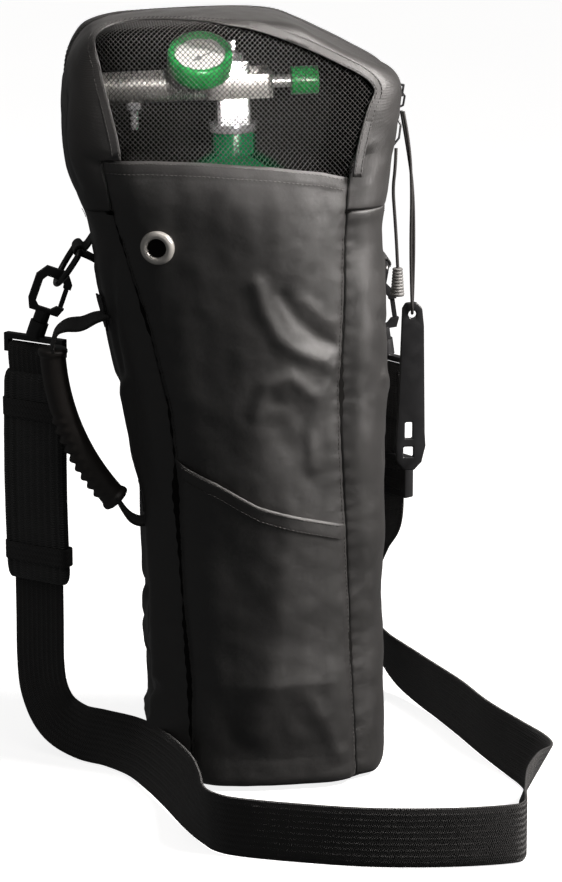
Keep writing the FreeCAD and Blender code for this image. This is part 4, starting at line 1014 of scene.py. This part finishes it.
def zip_curve(offset, count=200, low=0.03):
    """The zipper's line over the bag, moved sideways by offset along Y."""
    alpha = np.linspace(low, math.pi - low, count)
    eye = HOOD_EYE + np.array((0.0, offset, 0.0))
    way = np.stack([np.cos(alpha), 0 * alpha, np.sin(alpha)], -1)
    p = cast(np.broadcast_to(eye, way.shape).copy(), way)
    return p, normals_of(p)


def make_zipper():
    halves = (("hood", -1, "hood", "zipper_hood_side"), ("fixed", 1, "bag", "zipper_fixed_side"))
    for name, side, body, node in halves:
        p, n = zip_curve(side * 4.2)
        stations = [(tuple(a), (0.0, 1.0, 0.0)) for a in (p + n * 0.7)[::3]]
        tape = ribbon(f"zip_tape_{name}", stations, 7.0, 0.9, ZIP_TAPE, 2.5)
        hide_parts(node)
        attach(tape, body)
        q, m = zip_curve(side * 0.95, 400)
        run = np.concatenate([[0], np.cumsum(np.linalg.norm(np.diff(q, axis=0), axis=1))])
        parts = []
        for at in np.arange(0.7 + 0.35 * side, run[-1] - 0.7, 1.4):
            c = np.array([np.interp(at, run, q[:, i]) for i in range(3)])
            up = np.array([np.interp(at, run, m[:, i]) for i in range(3)])
            up /= np.linalg.norm(up)
            out = np.array((0.0, 1.0, 0.0))
            ahead = np.cross(up, out)
            parts.append(box_mesh(c + up * 1.15, np.array((ahead, out, up)), np.array((0.42, 1.05, 0.5))))
        teeth = merge(f"zip_teeth_{name}", parts, ZIP_COIL)
        round_off = teeth.modifiers.new("round", "BEVEL")
        round_off.width, round_off.segments = 0.18 * MM, 2
        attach(teeth, body)
        p, n = zip_curve(side * 6.2)
        run = ((p + n * 1.2)[4:-4:2], n[4:-4:2])
        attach(stitches(f"zip_stitching_{name}", [run], THREAD, 2.9, 2.2, 0.2), body)


def make_gores():
    """Pleated side gores that lie folded inside the fold line."""
    for name, side in (("left", -1), ("right", 1)):
        rows = 15
        y = np.linspace(-60.0, ZIP_Y - 2.0, 26)
        s = s_at_y(np.maximum(y, -28.0), np.full_like(y, FOLD_Z), side)
        early = np.interp(y, (-60.0, -28.0), (0, 1))
        seam = seam_places(np.array(FOLD_Z))[1 if side < 0 else 2]
        s = np.where(y < -28.0, seam + (s - seam) * early, s)
        x0, y0 = plan(s, np.full_like(s, FOLD_Z))
        toward = unit_rows(np.stack([x0 + 20.0, y0 + 3.0], -1))
        points = []
        for r in range(rows):
            deep = 3.2 + (2.2 if r % 2 else 0.0)
            z = FOLD_Z - 1.2 + 2.4 * r / (rows - 1)
            level = np.full_like(x0, z)
            points.append(np.stack([x0 - toward[:, 0] * deep, y0 - toward[:, 1] * deep, level], -1))
        grid = np.array(points)
        uv = np.stack(np.broadcast_arrays(y[None, :], np.arange(rows)[:, None] * 4.0), -1)
        faces = grid_faces(rows, len(y))
        # The gores are drawn in the nylon darkened as painted shade.
        obj = new_mesh(f"side_gore_{name}", grid.reshape(-1, 3), faces, NYLON_PAINTED_SHADE, uv.reshape(-1, 2))
        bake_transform(obj)


def make_lining():
    """Lining just inside the walls, dark with painted shade, so that nothing pale shows through the net."""
    share = np.linspace(-1, 1, 120)[None, :]
    z = np.linspace(5.0, 368.0, 40)[:, None]
    s = share * 238.0 + 0 * z
    x, y = plan(s, z + 0 * s)
    p = np.stack([-20 + (x + 20) * 0.955, -3 + (y + 3) * 0.94, z + 0 * s], -1)
    uv = np.stack([s, z + 0 * s], -1)
    obj = new_mesh("lining", p.reshape(-1, 3), grid_faces(40, 120), NYLON_PAINTED_SHADE, uv.reshape(-1, 2))
    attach(obj, "bag")
    alpha = np.linspace(0, math.pi, 90)[None, :]
    tip = np.linspace(0.0, -math.pi / 2 * 0.97, 36)[:, None]
    alpha, tip = np.broadcast_arrays(alpha, tip)
    p = dome_point(alpha, tip)
    p = p - normals_of(p) * 2.2
    uv = np.stack([alpha * 90, tip * 90], -1)
    obj = new_mesh("back_lining", p.reshape(-1, 3), grid_faces(36, 90), NYLON_PAINTED_SHADE, uv.reshape(-1, 2))
    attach(obj, "bag")


# ---------------------------------------------------------------- straps, pad and handle
STRAP_W, STRAP_T = 38.0, 1.8
LEFT_X, LEFT_Y, RIGHT_X, RIGHT_Y = -146.7, 8.0, 84.0, 46.0
LEFT_ACROSS, RIGHT_ACROSS = (0.788, -0.616, 0.0), (0.56, -0.83, 0.0)
UPRIGHT = (0.0, 0.0, 1.0)
STRAP = (
    ((LEFT_X, LEFT_Y, 262.0), LEFT_ACROSS), ((LEFT_X, LEFT_Y, 180.0), LEFT_ACROSS),
    ((LEFT_X, LEFT_Y, 100.0), LEFT_ACROSS), ((LEFT_X, LEFT_Y, 62.0), LEFT_ACROSS),
    ((-144.0, 5.0, 42.0), (0.80, -0.56, 0.20)), ((-136.0, -1.0, 27.0), (0.70, -0.40, 0.58)),
    ((-122.0, -12.0, 20.0), (0.30, -0.15, 0.93)), ((-106.0, -24.0, 19.2), (0.05, 0.05, 1.0)),
    ((-88.0, -42.0, 18.4), (0.30, 0.12, 0.93)), ((-76.0, -68.0, 17.6), (0.45, 0.16, 0.88)),
    ((-66.0, -104.0, 17.6), (0.45, 0.12, 0.88)), ((-60.0, -142.0, 18.6), (0.26, 0.06, 0.96)),
    ((-55.0, -172.0, 19.2), UPRIGHT), ((-48.0, -186.0, 19.2), UPRIGHT), ((-34.0, -196.0, 19.2), UPRIGHT),
    ((0.0, -209.0, 19.2), UPRIGHT), ((42.0, -221.0, 19.2), UPRIGHT), ((88.0, -226.0, 19.2), UPRIGHT),
    ((126.0, -224.0, 19.2), UPRIGHT), ((136.0, -217.0, 19.2), UPRIGHT), ((140.0, -196.0, 19.2), UPRIGHT),
    ((146.0, -160.0, 19.2), (0.10, 0, 0.99)), ((155.0, -126.0, 18.6), (0.30, -0.10, 0.95)),
    ((164.0, -106.0, 17.6), (0.42, -0.20, 0.88)), ((163.0, -90.0, 17.6), (0.42, -0.20, 0.88)),
    ((154.0, -66.0, 18.6), (0.25, -0.05, 0.96)), ((142.0, -30.0, 19.2), (0.10, 0.0, 0.99)),
    ((132.0, 12.0, 19.2), (0.05, 0.12, 0.99)), ((123.0, 44.0, 19.2), (0.0, 0.05, 1.0)),
    ((113.0, 74.0, 20.0), (0.0, -0.10, 1.0)), ((101.0, 100.0, 25.0), (0.05, -0.45, 0.90)),
    ((90.0, 112.0, 40.0), (0.12, -0.85, 0.50)), ((80.0, 110.0, 60.0), (0.25, -0.96, 0.05)),
    ((76.0, 99.0, 86.0), (0.32, -0.94, -0.12)), ((76.0, 83.0, 110.0), (0.42, -0.90, -0.10)),
    ((79.0, 64.0, 132.0), (0.50, -0.86, -0.05)), ((RIGHT_X, RIGHT_Y, 152.0), RIGHT_ACROSS),
    ((RIGHT_X, RIGHT_Y, 176.0), RIGHT_ACROSS), ((RIGHT_X, RIGHT_Y, 237.0), RIGHT_ACROSS),
)
SLOT_LEFT, SLOT_RIGHT = (-146.69, 8.0, 277.75), (84.58, 46.0, 252.10)


def strap_end(name, slot_at, across, foot):
    """The strap's end, folded round the bar of the swivel's loop and sewn back on itself."""
    across = np.array(across)
    face = np.cross(across, (0, 0, 1.0))
    face /= np.linalg.norm(face)
    c = np.array(slot_at) + (0, 0, -6.75)
    low = np.array(foot)
    run = [low + face * 1.9, c + face * 3.6 + (0, 0, -7.0), c + face * 3.9, c + face * 2.8 + (0, 0, 3.6),
           c + (0, 0, 4.6), c - face * 2.8 + (0, 0, 3.6), c - face * 3.9, c - face * 3.6 + (0, 0, -7.0),
           low - face * 1.9]
    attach(ribbon(name, [(tuple(p), tuple(across)) for p in run], STRAP_W - 0.6, 1.5, WEBBING, 1.2), "bag")
    lines = []
    for side in (-1, 1):
        f = face * side * 3.1
        top, bottom = c + (0, 0, -9.0), low + (0, 0, 3.0)
        for a, b in ((top - across * 15, top + across * 15), (bottom - across * 15, bottom + across * 15),
                     (top - across * 15, bottom + across * 15), (top + across * 15, bottom - across * 15)):
            pts = np.linspace(a + f, b + f, 12)
            lines.append((pts, np.tile(face * side, (12, 1))))
    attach(stitches(name + "_stitching", lines, THREAD, 2.2, 1.7, 0.24), "bag")


def make_straps():
    strap = ribbon("shoulder_strap", STRAP, STRAP_W, STRAP_T, WEBBING, 2.5)
    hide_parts("strap_left_fall", "strap_left_turn", "strap_front_run", "strap_right_loop",
                "strap_rise", "strap_right_fall")
    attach(strap, "bag")
    strap_end("strap_end_left", SLOT_LEFT, LEFT_ACROSS, (LEFT_X, LEFT_Y, 252.0))
    strap_end("strap_end_right", SLOT_RIGHT, RIGHT_ACROSS, (RIGHT_X, RIGHT_Y, 214.0))


def make_pad():
    """A soft pad round the strap: crowned faces, upright ribs and two webbing keepers."""
    across = np.array(LEFT_ACROSS)
    face = np.cross(across, (0, 0, 1.0))
    centre = np.array((LEFT_X, LEFT_Y, 0.0))
    rows, ring = 72, 96
    t = np.linspace(0, 2 * math.pi, ring, endpoint=False)
    z = np.linspace(118.5, 257.5, rows)
    points, uvs = [], []
    for k, height in enumerate(z):
        end = min(height - 118.5, 257.5 - height)
        shrink = math.sqrt(max(0.0, 1 - max(0.0, 1 - end / 3.2) ** 2)) * 0.9 + 0.1 if end < 3.2 else 1.0
        half_w = 23.4 - 2.2 * max(0.0, 1 - end / 9.0) ** 2
        u = np.sign(np.cos(t)) * np.abs(np.cos(t)) ** 0.28 * half_w
        v = np.sign(np.sin(t)) * np.abs(np.sin(t)) ** 0.45 * (3.0 + 1.6 * shrink)
        ribs = 0.42 * np.cos(u / 46.8 * 2 * math.pi * 9) * np.clip((np.abs(v) - 2.6) / 0.8, 0, 1)
        wrinkle = 0.5 * math.sin(height * 0.21) + 0.3 * math.sin(height * 0.53 + 1)
        v = v * (1 + 0.03 * wrinkle) + np.sign(v) * ribs * (shrink > 0.98)
        bow = 1.6 * math.sin(math.pi * (height - 118.5) / 139.0)
        points.append(centre + np.outer(u - bow, across) + np.outer(v, face) + (0, 0, height))
        uvs.append(np.stack([u, np.full(ring, height)], -1))
    grid = np.array(points)
    faces = grid_faces(rows, ring, wrap=True)
    faces += [tuple(range(ring))[::-1], tuple(range((rows - 1) * ring, rows * ring))]
    obj = new_mesh("shoulder_pad_soft", grid.reshape(-1, 3), faces, PAD, np.array(uvs).reshape(-1, 2))
    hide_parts("shoulder_pad")
    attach(obj, "pad")
    for name, low, high in (("upper", 227.0, 239.0), ("lower", 131.0, 143.0)):
        loop = []
        for a, b in ((-23.0, 5.4), (-12.0, 5.9), (0.0, 6.1), (12.0, 5.9), (23.0, 5.4), (25.4, 3.0),
                     (25.6, 0.0), (25.4, -3.0), (23.0, -5.4), (12.0, -5.9), (0.0, -6.1), (-12.0, -5.9),
                     (-23.0, -5.4), (-25.4, -3.0),
                     (-25.6, 0.0), (-25.4, 3.0), (-23.0, 5.4)):
            place = centre + across * a * 0.95 + face * b * 0.9 + (0, 0, (low + high) / 2)
            loop.append((tuple(place), (0.0, 0.0, 1.0)))
        band = ribbon(f"pad_keeper_{name}", loop, high - low, 0.9, WEBBING, 1.5, closed_ends=False)
        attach(band, "pad")


HANDLE_TOP, HANDLE_LOW = (-105.8, -26.0, 303.0), (-77.5, -26.0, 184.0)
GRIP_POINTS = ((-137.0, -26.0, 281.0), (-125.0, -26.0, 224.0), (-97.0, -26.0, 180.0))


def arc_through(a, b, c, count):
    a, b, c = (np.asarray(v, float) for v in (a, b, c))
    ab, ac = b - a, c - a
    axis = np.cross(ab, ac)
    to = (np.cross(axis, ab) * ac.dot(ac) + np.cross(ac, axis) * ab.dot(ab)) / (2 * axis.dot(axis))
    centre, radius = a + to, np.linalg.norm(to)
    e1 = (a - centre) / radius
    e2 = np.cross(axis / np.linalg.norm(axis), e1)
    end = math.atan2((c - centre).dot(e2), (c - centre).dot(e1)) % (2 * math.pi)
    t = np.linspace(0, end, count)[:, None]
    return centre + radius * (np.cos(t) * e1 + np.sin(t) * e2), centre


def make_handle():
    rows, ring = 150, 40
    line, centre = arc_through(*GRIP_POINTS, rows)
    ahead = unit_rows(np.gradient(line, axis=0))
    out = unit_rows(line - centre)
    outward = out if out[rows // 2, 0] < 0 else -out
    side = np.cross(ahead, outward)
    t = np.linspace(0, 2 * math.pi, ring, endpoint=False)
    run = np.linspace(0, 1, rows)
    length = float(np.sum(np.linalg.norm(np.diff(line, axis=0), axis=1)))
    radius = np.full((rows, ring), 8.2)
    ridge = np.clip(np.cos(t), 0, 1)[None, :] ** 0.8
    bumps = np.cos(run * length / 6.6 * 2 * math.pi) * 0.9 + 0.2
    bumps = bumps * np.clip((run - 0.36) / 0.06, 0, 1) * np.clip((0.93 - run) / 0.04, 0, 1)
    radius = radius + bumps[:, None] * ridge * 1.25
    for at, size in ((0.0, 1.3), (1.0, 1.3)):
        radius += size * np.exp(-(((run - at) * length - (2.2 if at == 0 else -2.2)) / 2.4) ** 4)[:, None]
    ends = np.minimum(run, 1 - run) * length
    radius *= np.where(ends < 1.0, 0.86 + 0.14 * ends, 1.0)[:, None]
    seam_line = -0.35 * np.exp(-((np.abs(t - math.pi) - 0.25) / 0.09) ** 2)[None, :]
    radius = radius + seam_line
    flat = np.array((1.0, 1.12))
    points = line[:, None] + (outward[:, None] * np.cos(t)[None, :, None] * flat[0]
                              + side[:, None] * np.sin(t)[None, :, None] * flat[1]) * radius[..., None]
    faces = grid_faces(rows, ring, wrap=True)
    faces += [tuple(range(ring))[::-1], tuple(range((rows - 1) * ring, rows * ring))]
    obj = new_mesh("handle_grip_rubber", points.reshape(-1, 3), faces, GRIP,
                   np.stack(np.broadcast_arrays(t[None, :] * 8, run[:, None] * length), -1).reshape(-1, 2))
    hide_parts("handle_grip")
    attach(obj, "handle")
    y = -26.0
    upper = ribbon("handle_webbing_upper", [
        ((-103.0, y, 301.5), (0, 1, 0)), ((-110.0, y - 1, 300.0), (0.05, 1, 0.1)),
        ((-119.0, y - 2, 296.5), (0.1, 0.96, 0.2)), ((-128.0, y - 1, 295.5), (0.1, 0.97, 0.15)),
        ((-134.5, y, 291.0), (0.05, 1, 0.0)), ((-137.2, y, 280.0), (0, 1, 0))],
        22.0, 2.0, WEBBING, 1.5)
    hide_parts("handle_webbing")
    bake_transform(upper)
    lower = ribbon("handle_webbing_lower", [
        ((-98.5, y, 184.0), (0, 1, 0)), ((-93.5, y, 174.5), (0, 1, 0)), ((-88.0, y, 168.0), (0.05, 1, 0)),
        ((-80.5, y, 166.0), (0.05, 1, 0)), ((-74.5, y, 171.5), (0, 1, 0)), ((-74.0, y, 181.0), (0, 1, 0))],
        22.0, 2.0, WEBBING, 1.5)
    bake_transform(lower)
    patches, runs = [], []
    for (cx, cy, cz), tall in ((HANDLE_TOP, 22.0), (HANDLE_LOW, 22.0)):
        h = np.linspace(cz - tall / 2, cz + tall / 2, 14)[:, None]
        inner, outer = s_at_y(cy - 12, h, -1), s_at_y(cy + 12, h, -1)
        s = inner + (outer - inner) * np.linspace(0, 1, 14)[None, :]
        p, n = wall_point(s, h + 0 * s)
        patches.append(p + n * 0.9)
        for i, j in (((1, 12), (1, 1)), ((12, 12), (1, 12)), ((1, 1), (1, 12)), ((1, 12), (12, 12))):
            rr = np.round(np.linspace(i[0], i[1], 12)).astype(int)
            cc = np.round(np.linspace(j[0], j[1], 12)).astype(int)
            runs.append((p[rr, cc] + n[rr, cc] * 1.2, n[rr, cc]))
        rr = np.arange(1, 13)
        runs.append((p[rr, rr] + n[rr, rr] * 1.2, n[rr, rr]))
        runs.append((p[rr, 13 - rr] + n[rr, 13 - rr] * 1.2, n[rr, 13 - rr]))
    for k, p in enumerate(patches):
        u, v = np.meshgrid(np.linspace(0, 24, 14), np.linspace(0, 22, 14))
        obj = sheet_mesh(f"handle_patch_{k}", p, np.stack([u, v], -1), WEBBING, thick=1.2)
        if k == 0:
            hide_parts("handle_patches")
        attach(obj, "bag")
    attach(stitches("handle_patch_stitching", runs, THREAD, 2.2, 1.7, 0.22), "bag")


def make_ring_tabs():
    """A short webbing folded round the bar of each D-ring and sewn to the gusset."""
    for k, (bar, outward) in enumerate((((-118.0, 8.0, 338.0), -1), ((82.5, 46.0, 318.0), 1))):
        bar = np.array(bar)
        out = np.array((outward, 0.0, 0.0))
        up = np.array((0.0, 0.0, 1.0))
        wall = front_wall_x(bar[1], bar[2] - 14.0, outward)
        run = [np.array((wall, bar[1], bar[2] - 22.0)) + out * 1.4,
               np.array((wall, bar[1], bar[2] - 10.0)) + out * 1.6,
               bar - up * 2.8 + out * -1.2, bar - up * 2.4 + out * 2.4, bar + out * 3.3,
               bar + up * 2.6 + out * 1.6,
               bar + up * 3.2 - out * 1.0, bar + up * 1.0 - out * 4.0,
               np.array((front_wall_x(bar[1], bar[2] + 6.0, outward), bar[1], bar[2] + 8.0)) + out * 1.2]
        tab = ribbon(f"ring_tab_{k}", [(tuple(p), (0.0, 1.0, 0.0)) for p in run], 25.0, 1.4, WEBBING, 1.2)
        if k == 0:
            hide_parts("ring_tabs")
        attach(tab, "bag")


def front_wall_x(y, z, side):
    """The side wall's x at this depth and height."""
    origin = np.array([[-20.0, y, z]])
    return float(cast(origin, np.array([[float(side), 0.0, 0.0]]))[0, 0])


# ---------------------------------------------------------------- small turned and hanging pieces
def make_eyelet():
    x, z, rim = -73.4, 352.5, 10.9
    p, n = wall_point(s_at_x(np.array([[x]]), np.array([[z]])), np.array([[z]]))
    p, n = p[0, 0], n[0, 0]
    turn = np.linspace(0, 2 * math.pi, 24)[None, :]
    z_round = z + rim * np.sin(turn)
    around = wall_point(s_at_x(x + rim * np.cos(turn), z_round), z_round)[0]
    slope = np.linalg.svd(around[0] - around[0].mean(axis=0))[2][2]
    n = slope * np.sign(np.dot(slope, n))
    p = p + n * np.max((around[0] - p) @ n) * 0.6
    profile = [(5.8, -3.0), (5.8, 0.6), (6.0, 1.3), (6.6, 2.1), (7.6, 2.6), (8.7, 2.45), (9.8, 1.8),
               (10.6, 0.9), (10.9, -0.2),
               (10.9, -1.8)]
    eyelet = lathe("eyelet", profile, p, n, NICKEL)
    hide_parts("grommet")
    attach(eyelet, "bag")
    # A dark disk across the eyelet's hole paints the shade inside it.
    hole = lathe("eyelet_painted_shade", [(0.01, 0.75), (5.9, 0.75)], p, n, NYLON_PAINTED_SHADE)
    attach(hole, "bag")


TANK_BASE, TANK_LEAN = np.array((-9.0, 1.0, 5.2)), math.radians(-1.5)
GAUGE_FACE, GAUGE_R, GAUGE_DEPTH = (-21.5, -28.0, 463.0), 20.0, 16.0


def leaned(v):
    c, s = math.cos(TANK_LEAN), math.sin(TANK_LEAN)
    v = np.asarray(v, float)
    return np.array((c * v[0] + s * v[2], v[1], -s * v[0] + c * v[2]))


def make_gauge_boot():
    tilt = math.radians(55.0)
    axis = leaned((0.0, -math.cos(tilt), math.sin(tilt)))
    face = TANK_BASE + leaned(GAUGE_FACE)
    r, d = GAUGE_R, GAUGE_DEPTH
    profile = [(r - 4.2, -4.2), (r - 4.2, -0.8), (r - 3.7, -0.1), (r - 2.8, 0.15), (r - 1.3, -0.2),
               (r - 0.2, -1.3), (r + 0.2, -3.0), (r + 0.1, -d + 4.0), (r - 0.4, -d + 1.6),
               (r - 1.8, -d + 0.2), (12.0, -d), (9.0, -d)]
    boot = lathe("gauge_boot_soft", profile, face, axis, GREEN_MOULD, 96)
    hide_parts("gauge_boot")
    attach(boot, "bag")
    u = leaned((1.0, 0.0, 0.0))
    w = np.cross(axis, u)
    parts = []
    for k in range(25):
        turn = math.radians(-50 + 280 * k / 24)
        out = u * math.cos(turn) + w * math.sin(turn)
        size = 1.9 if k % 4 == 0 else 1.1
        centre = face - axis * 8.32 + out * (13.6 - size)
        parts.append(box_mesh(centre, np.array((out, np.cross(axis, out), axis)),
                              np.array((size, 0.22 if k % 4 == 0 else 0.13, 0.05))))
    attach(merge("gauge_marks", parts, INK), "bag")


PULL_END = (86.4, 3.9, 321.35)


def make_hanging():
    """The thin cords, with the same points as in the CAD, and the ribbed rubber tip."""
    py, wy = 4.5, 14.0
    pull = ((84.8, py, 399.0), (84.4, py - 0.8, 387.0), (82.9, py, 373.0), (84.4, py + 0.9, 356.0),
            (85.6, py, 338.0), (86.4, py - 0.6, 321.5))
    lanyard = ((90.6, wy, 421.0), (94.5, wy - 0.9, 402.0), (96.4, wy - 1.3, 372.0), (95.8, wy - 1.9, 336.0),
               (96.4, wy - 3.0, 306.0), (97.0, wy - 4.2, 292.0), (97.5, wy, 288.0), (98.2, wy + 4.2, 292.0),
               (98.4, wy + 3.0, 306.0), (98.6, wy + 1.9, 336.0), (97.6, wy + 1.3, 372.0),
               (93.0, wy + 1.8, 402.0), (89.6, wy + 3.0, 421.0))
    ribs = [(0.01, 0.0)]
    for k in range(9):
        base = 3.0 + k * 0.14
        ribs += [(base, 0.2 + 2.0 * k), (base + 0.35, 0.5 + 2.0 * k)]
        ribs += [(base + 0.35, 1.5 + 2.0 * k), (base, 1.8 + 2.0 * k)]
    ribs += [(4.2, 18.3), (0.01, 18.35)]
    tip = lathe("pull_tip_rubber", ribs, PULL_END, (0, 0, -1), TIP, 32)
    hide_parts("pull_tip")
    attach(tip, "zip_pull")
    for name, points, radius, body, node, far, pieces in (
            ("pull_cord_thread", pull, 1.1, "zip_pull", "pull_cord", "fitting", [tip]),
            ("wrench_lanyard", lanyard, 1.0, "wrench_on_cord", "lanyard", "object",
             [NODES["cylinder_wrench"]])):
        curve = bpy.data.curves.new(name, "CURVE")
        curve.dimensions = "3D"
        run = curve.splines.new("NURBS")
        run.points.add(len(points) - 1)
        for slot, p in zip(run.points, points):
            slot.co = (p[0] * MM, p[1] * MM, p[2] * MM, 1.0)
        run.order_u = 3
        run.use_endpoint_u = True
        run.resolution_u = 12
        curve.bevel_depth = radius * MM
        curve.bevel_resolution = 4
        curve.use_fill_caps = True
        curve.materials.append(CORD)
        obj = bpy.data.objects.new(name, curve)
        bpy.context.scene.collection.objects.link(obj)
        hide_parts(node)
        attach(obj, body)
        p = np.array(points)


# ---------------------------------------------------------------- floor, light and camera
FILL_LIGHT = 0.075
WARM = (1.0, 0.955, 0.925)
# lamps: kind, degrees round from the front to the right, degrees up, distance, width (m or degrees),
# place aimed at, strength
LIGHTS = (("key", "AREA", 69.0, 30.0, 0.95, 0.42, (-0.02, -0.02, 0.42), 30.0),
          ("overhead", "SUN", 20.0, 76.0, 2.0, 50.0, (0.0, 0.0, 0.4), 0.4),
          ("window_left", "SPOT", 4.0, 34.0, 1.3, 4.4, (-0.058, -0.03, 0.456), 240.0),
          ("window_right", "SPOT", 6.0, 12.0, 1.3, 4.2, (0.002, -0.03, 0.440), 240.0))


def make_stage():
    data = bpy.data.meshes.new("floor")
    corners = [(x, y, -0.0004) for x, y in ((-40, -40), (40, -40), (40, 40), (-40, 40))]
    data.from_pydata(corners, [], [(0, 1, 2, 3)])
    made, tree, shader = start_material("floor_white", (0.6, 0.6, 0.6), 0.8)
    vary_color(tree, shader, (0.59, 0.59, 0.59), (0.61, 0.61, 0.61), 2.0)
    shader.inputs["Emission Color"].default_value = (1.0, 1.0, 1.0, 1.0)
    shader.inputs["Emission Strength"].default_value = 0.85
    shader.inputs["Specular IOR Level"].default_value = 0.0
    data.materials.append(made)
    floor = bpy.data.objects.new("floor", data)
    bpy.context.scene.collection.objects.link(floor)
    floor.visible_diffuse = False
    floor.visible_glossy = False
    world = bpy.data.worlds.new("studio")
    world.use_nodes = True
    tree = world.node_tree
    fill, white = tree.nodes["Background"], tree.nodes.new("ShaderNodeBackground")
    fill.inputs["Color"].default_value = (1.0, 1.0, 1.0, 1.0)
    fill.inputs["Strength"].default_value = FILL_LIGHT
    white.inputs["Color"].default_value = (1.0, 1.0, 1.0, 1.0)
    rays, mix = tree.nodes.new("ShaderNodeLightPath"), tree.nodes.new("ShaderNodeMixShader")
    tree.links.new(rays.outputs["Is Camera Ray"], mix.inputs["Fac"])
    tree.links.new(fill.outputs[0], mix.inputs[1])
    tree.links.new(white.outputs[0], mix.inputs[2])
    tree.links.new(mix.outputs[0], tree.nodes["World Output"].inputs["Surface"])
    bpy.context.scene.world = world
    for name, kind, turn, climb, reach, size, aim, power in LIGHTS:
        lamp = bpy.data.lights.new(name, kind)
        lamp.energy = power
        lamp.color = WARM
        if kind == "AREA":
            lamp.size = size
        elif kind == "SPOT":
            lamp.spot_size, lamp.spot_blend, lamp.shadow_soft_size = math.radians(size), 0.5, 0.05
        else:
            lamp.angle = math.radians(size)
        obj = bpy.data.objects.new(name, lamp)
        turn, climb = math.radians(turn), math.radians(climb)
        way = Vector((math.sin(turn) * math.cos(climb), -math.cos(turn) * math.cos(climb), math.sin(climb)))
        obj.location = Vector(aim) + way * reach
        obj.rotation_euler = way.to_track_quat("Z", "Y").to_euler()
        bpy.context.scene.collection.objects.link(obj)


def make_camera():
    data = bpy.data.cameras.new("camera")
    data.lens = 145.1
    data.sensor_width = 36.0
    obj = bpy.data.objects.new("camera", data)
    at, aim = Vector((-0.222123, -2.214608, 0.785356)), Vector((0.010635, -0.000067, 0.209482))
    obj.location = at
    obj.rotation_euler = (aim - at).to_track_quat("-Z", "Y").to_euler()
    bpy.context.scene.collection.objects.link(obj)
    bpy.context.scene.camera = obj
    bpy.context.scene.view_settings.view_transform = "Standard"


dress_carried()
make_front_panel()
make_gussets()
make_back()
make_base()
make_pocket()
make_hood_cloth()
NET_OBJECT = make_net()
make_borders()
make_zipper()
make_gores()
make_lining()
make_straps()
make_pad()
make_handle()
make_ring_tabs()
make_eyelet()
make_gauge_boot()
make_hanging()
make_stage()
make_camera()
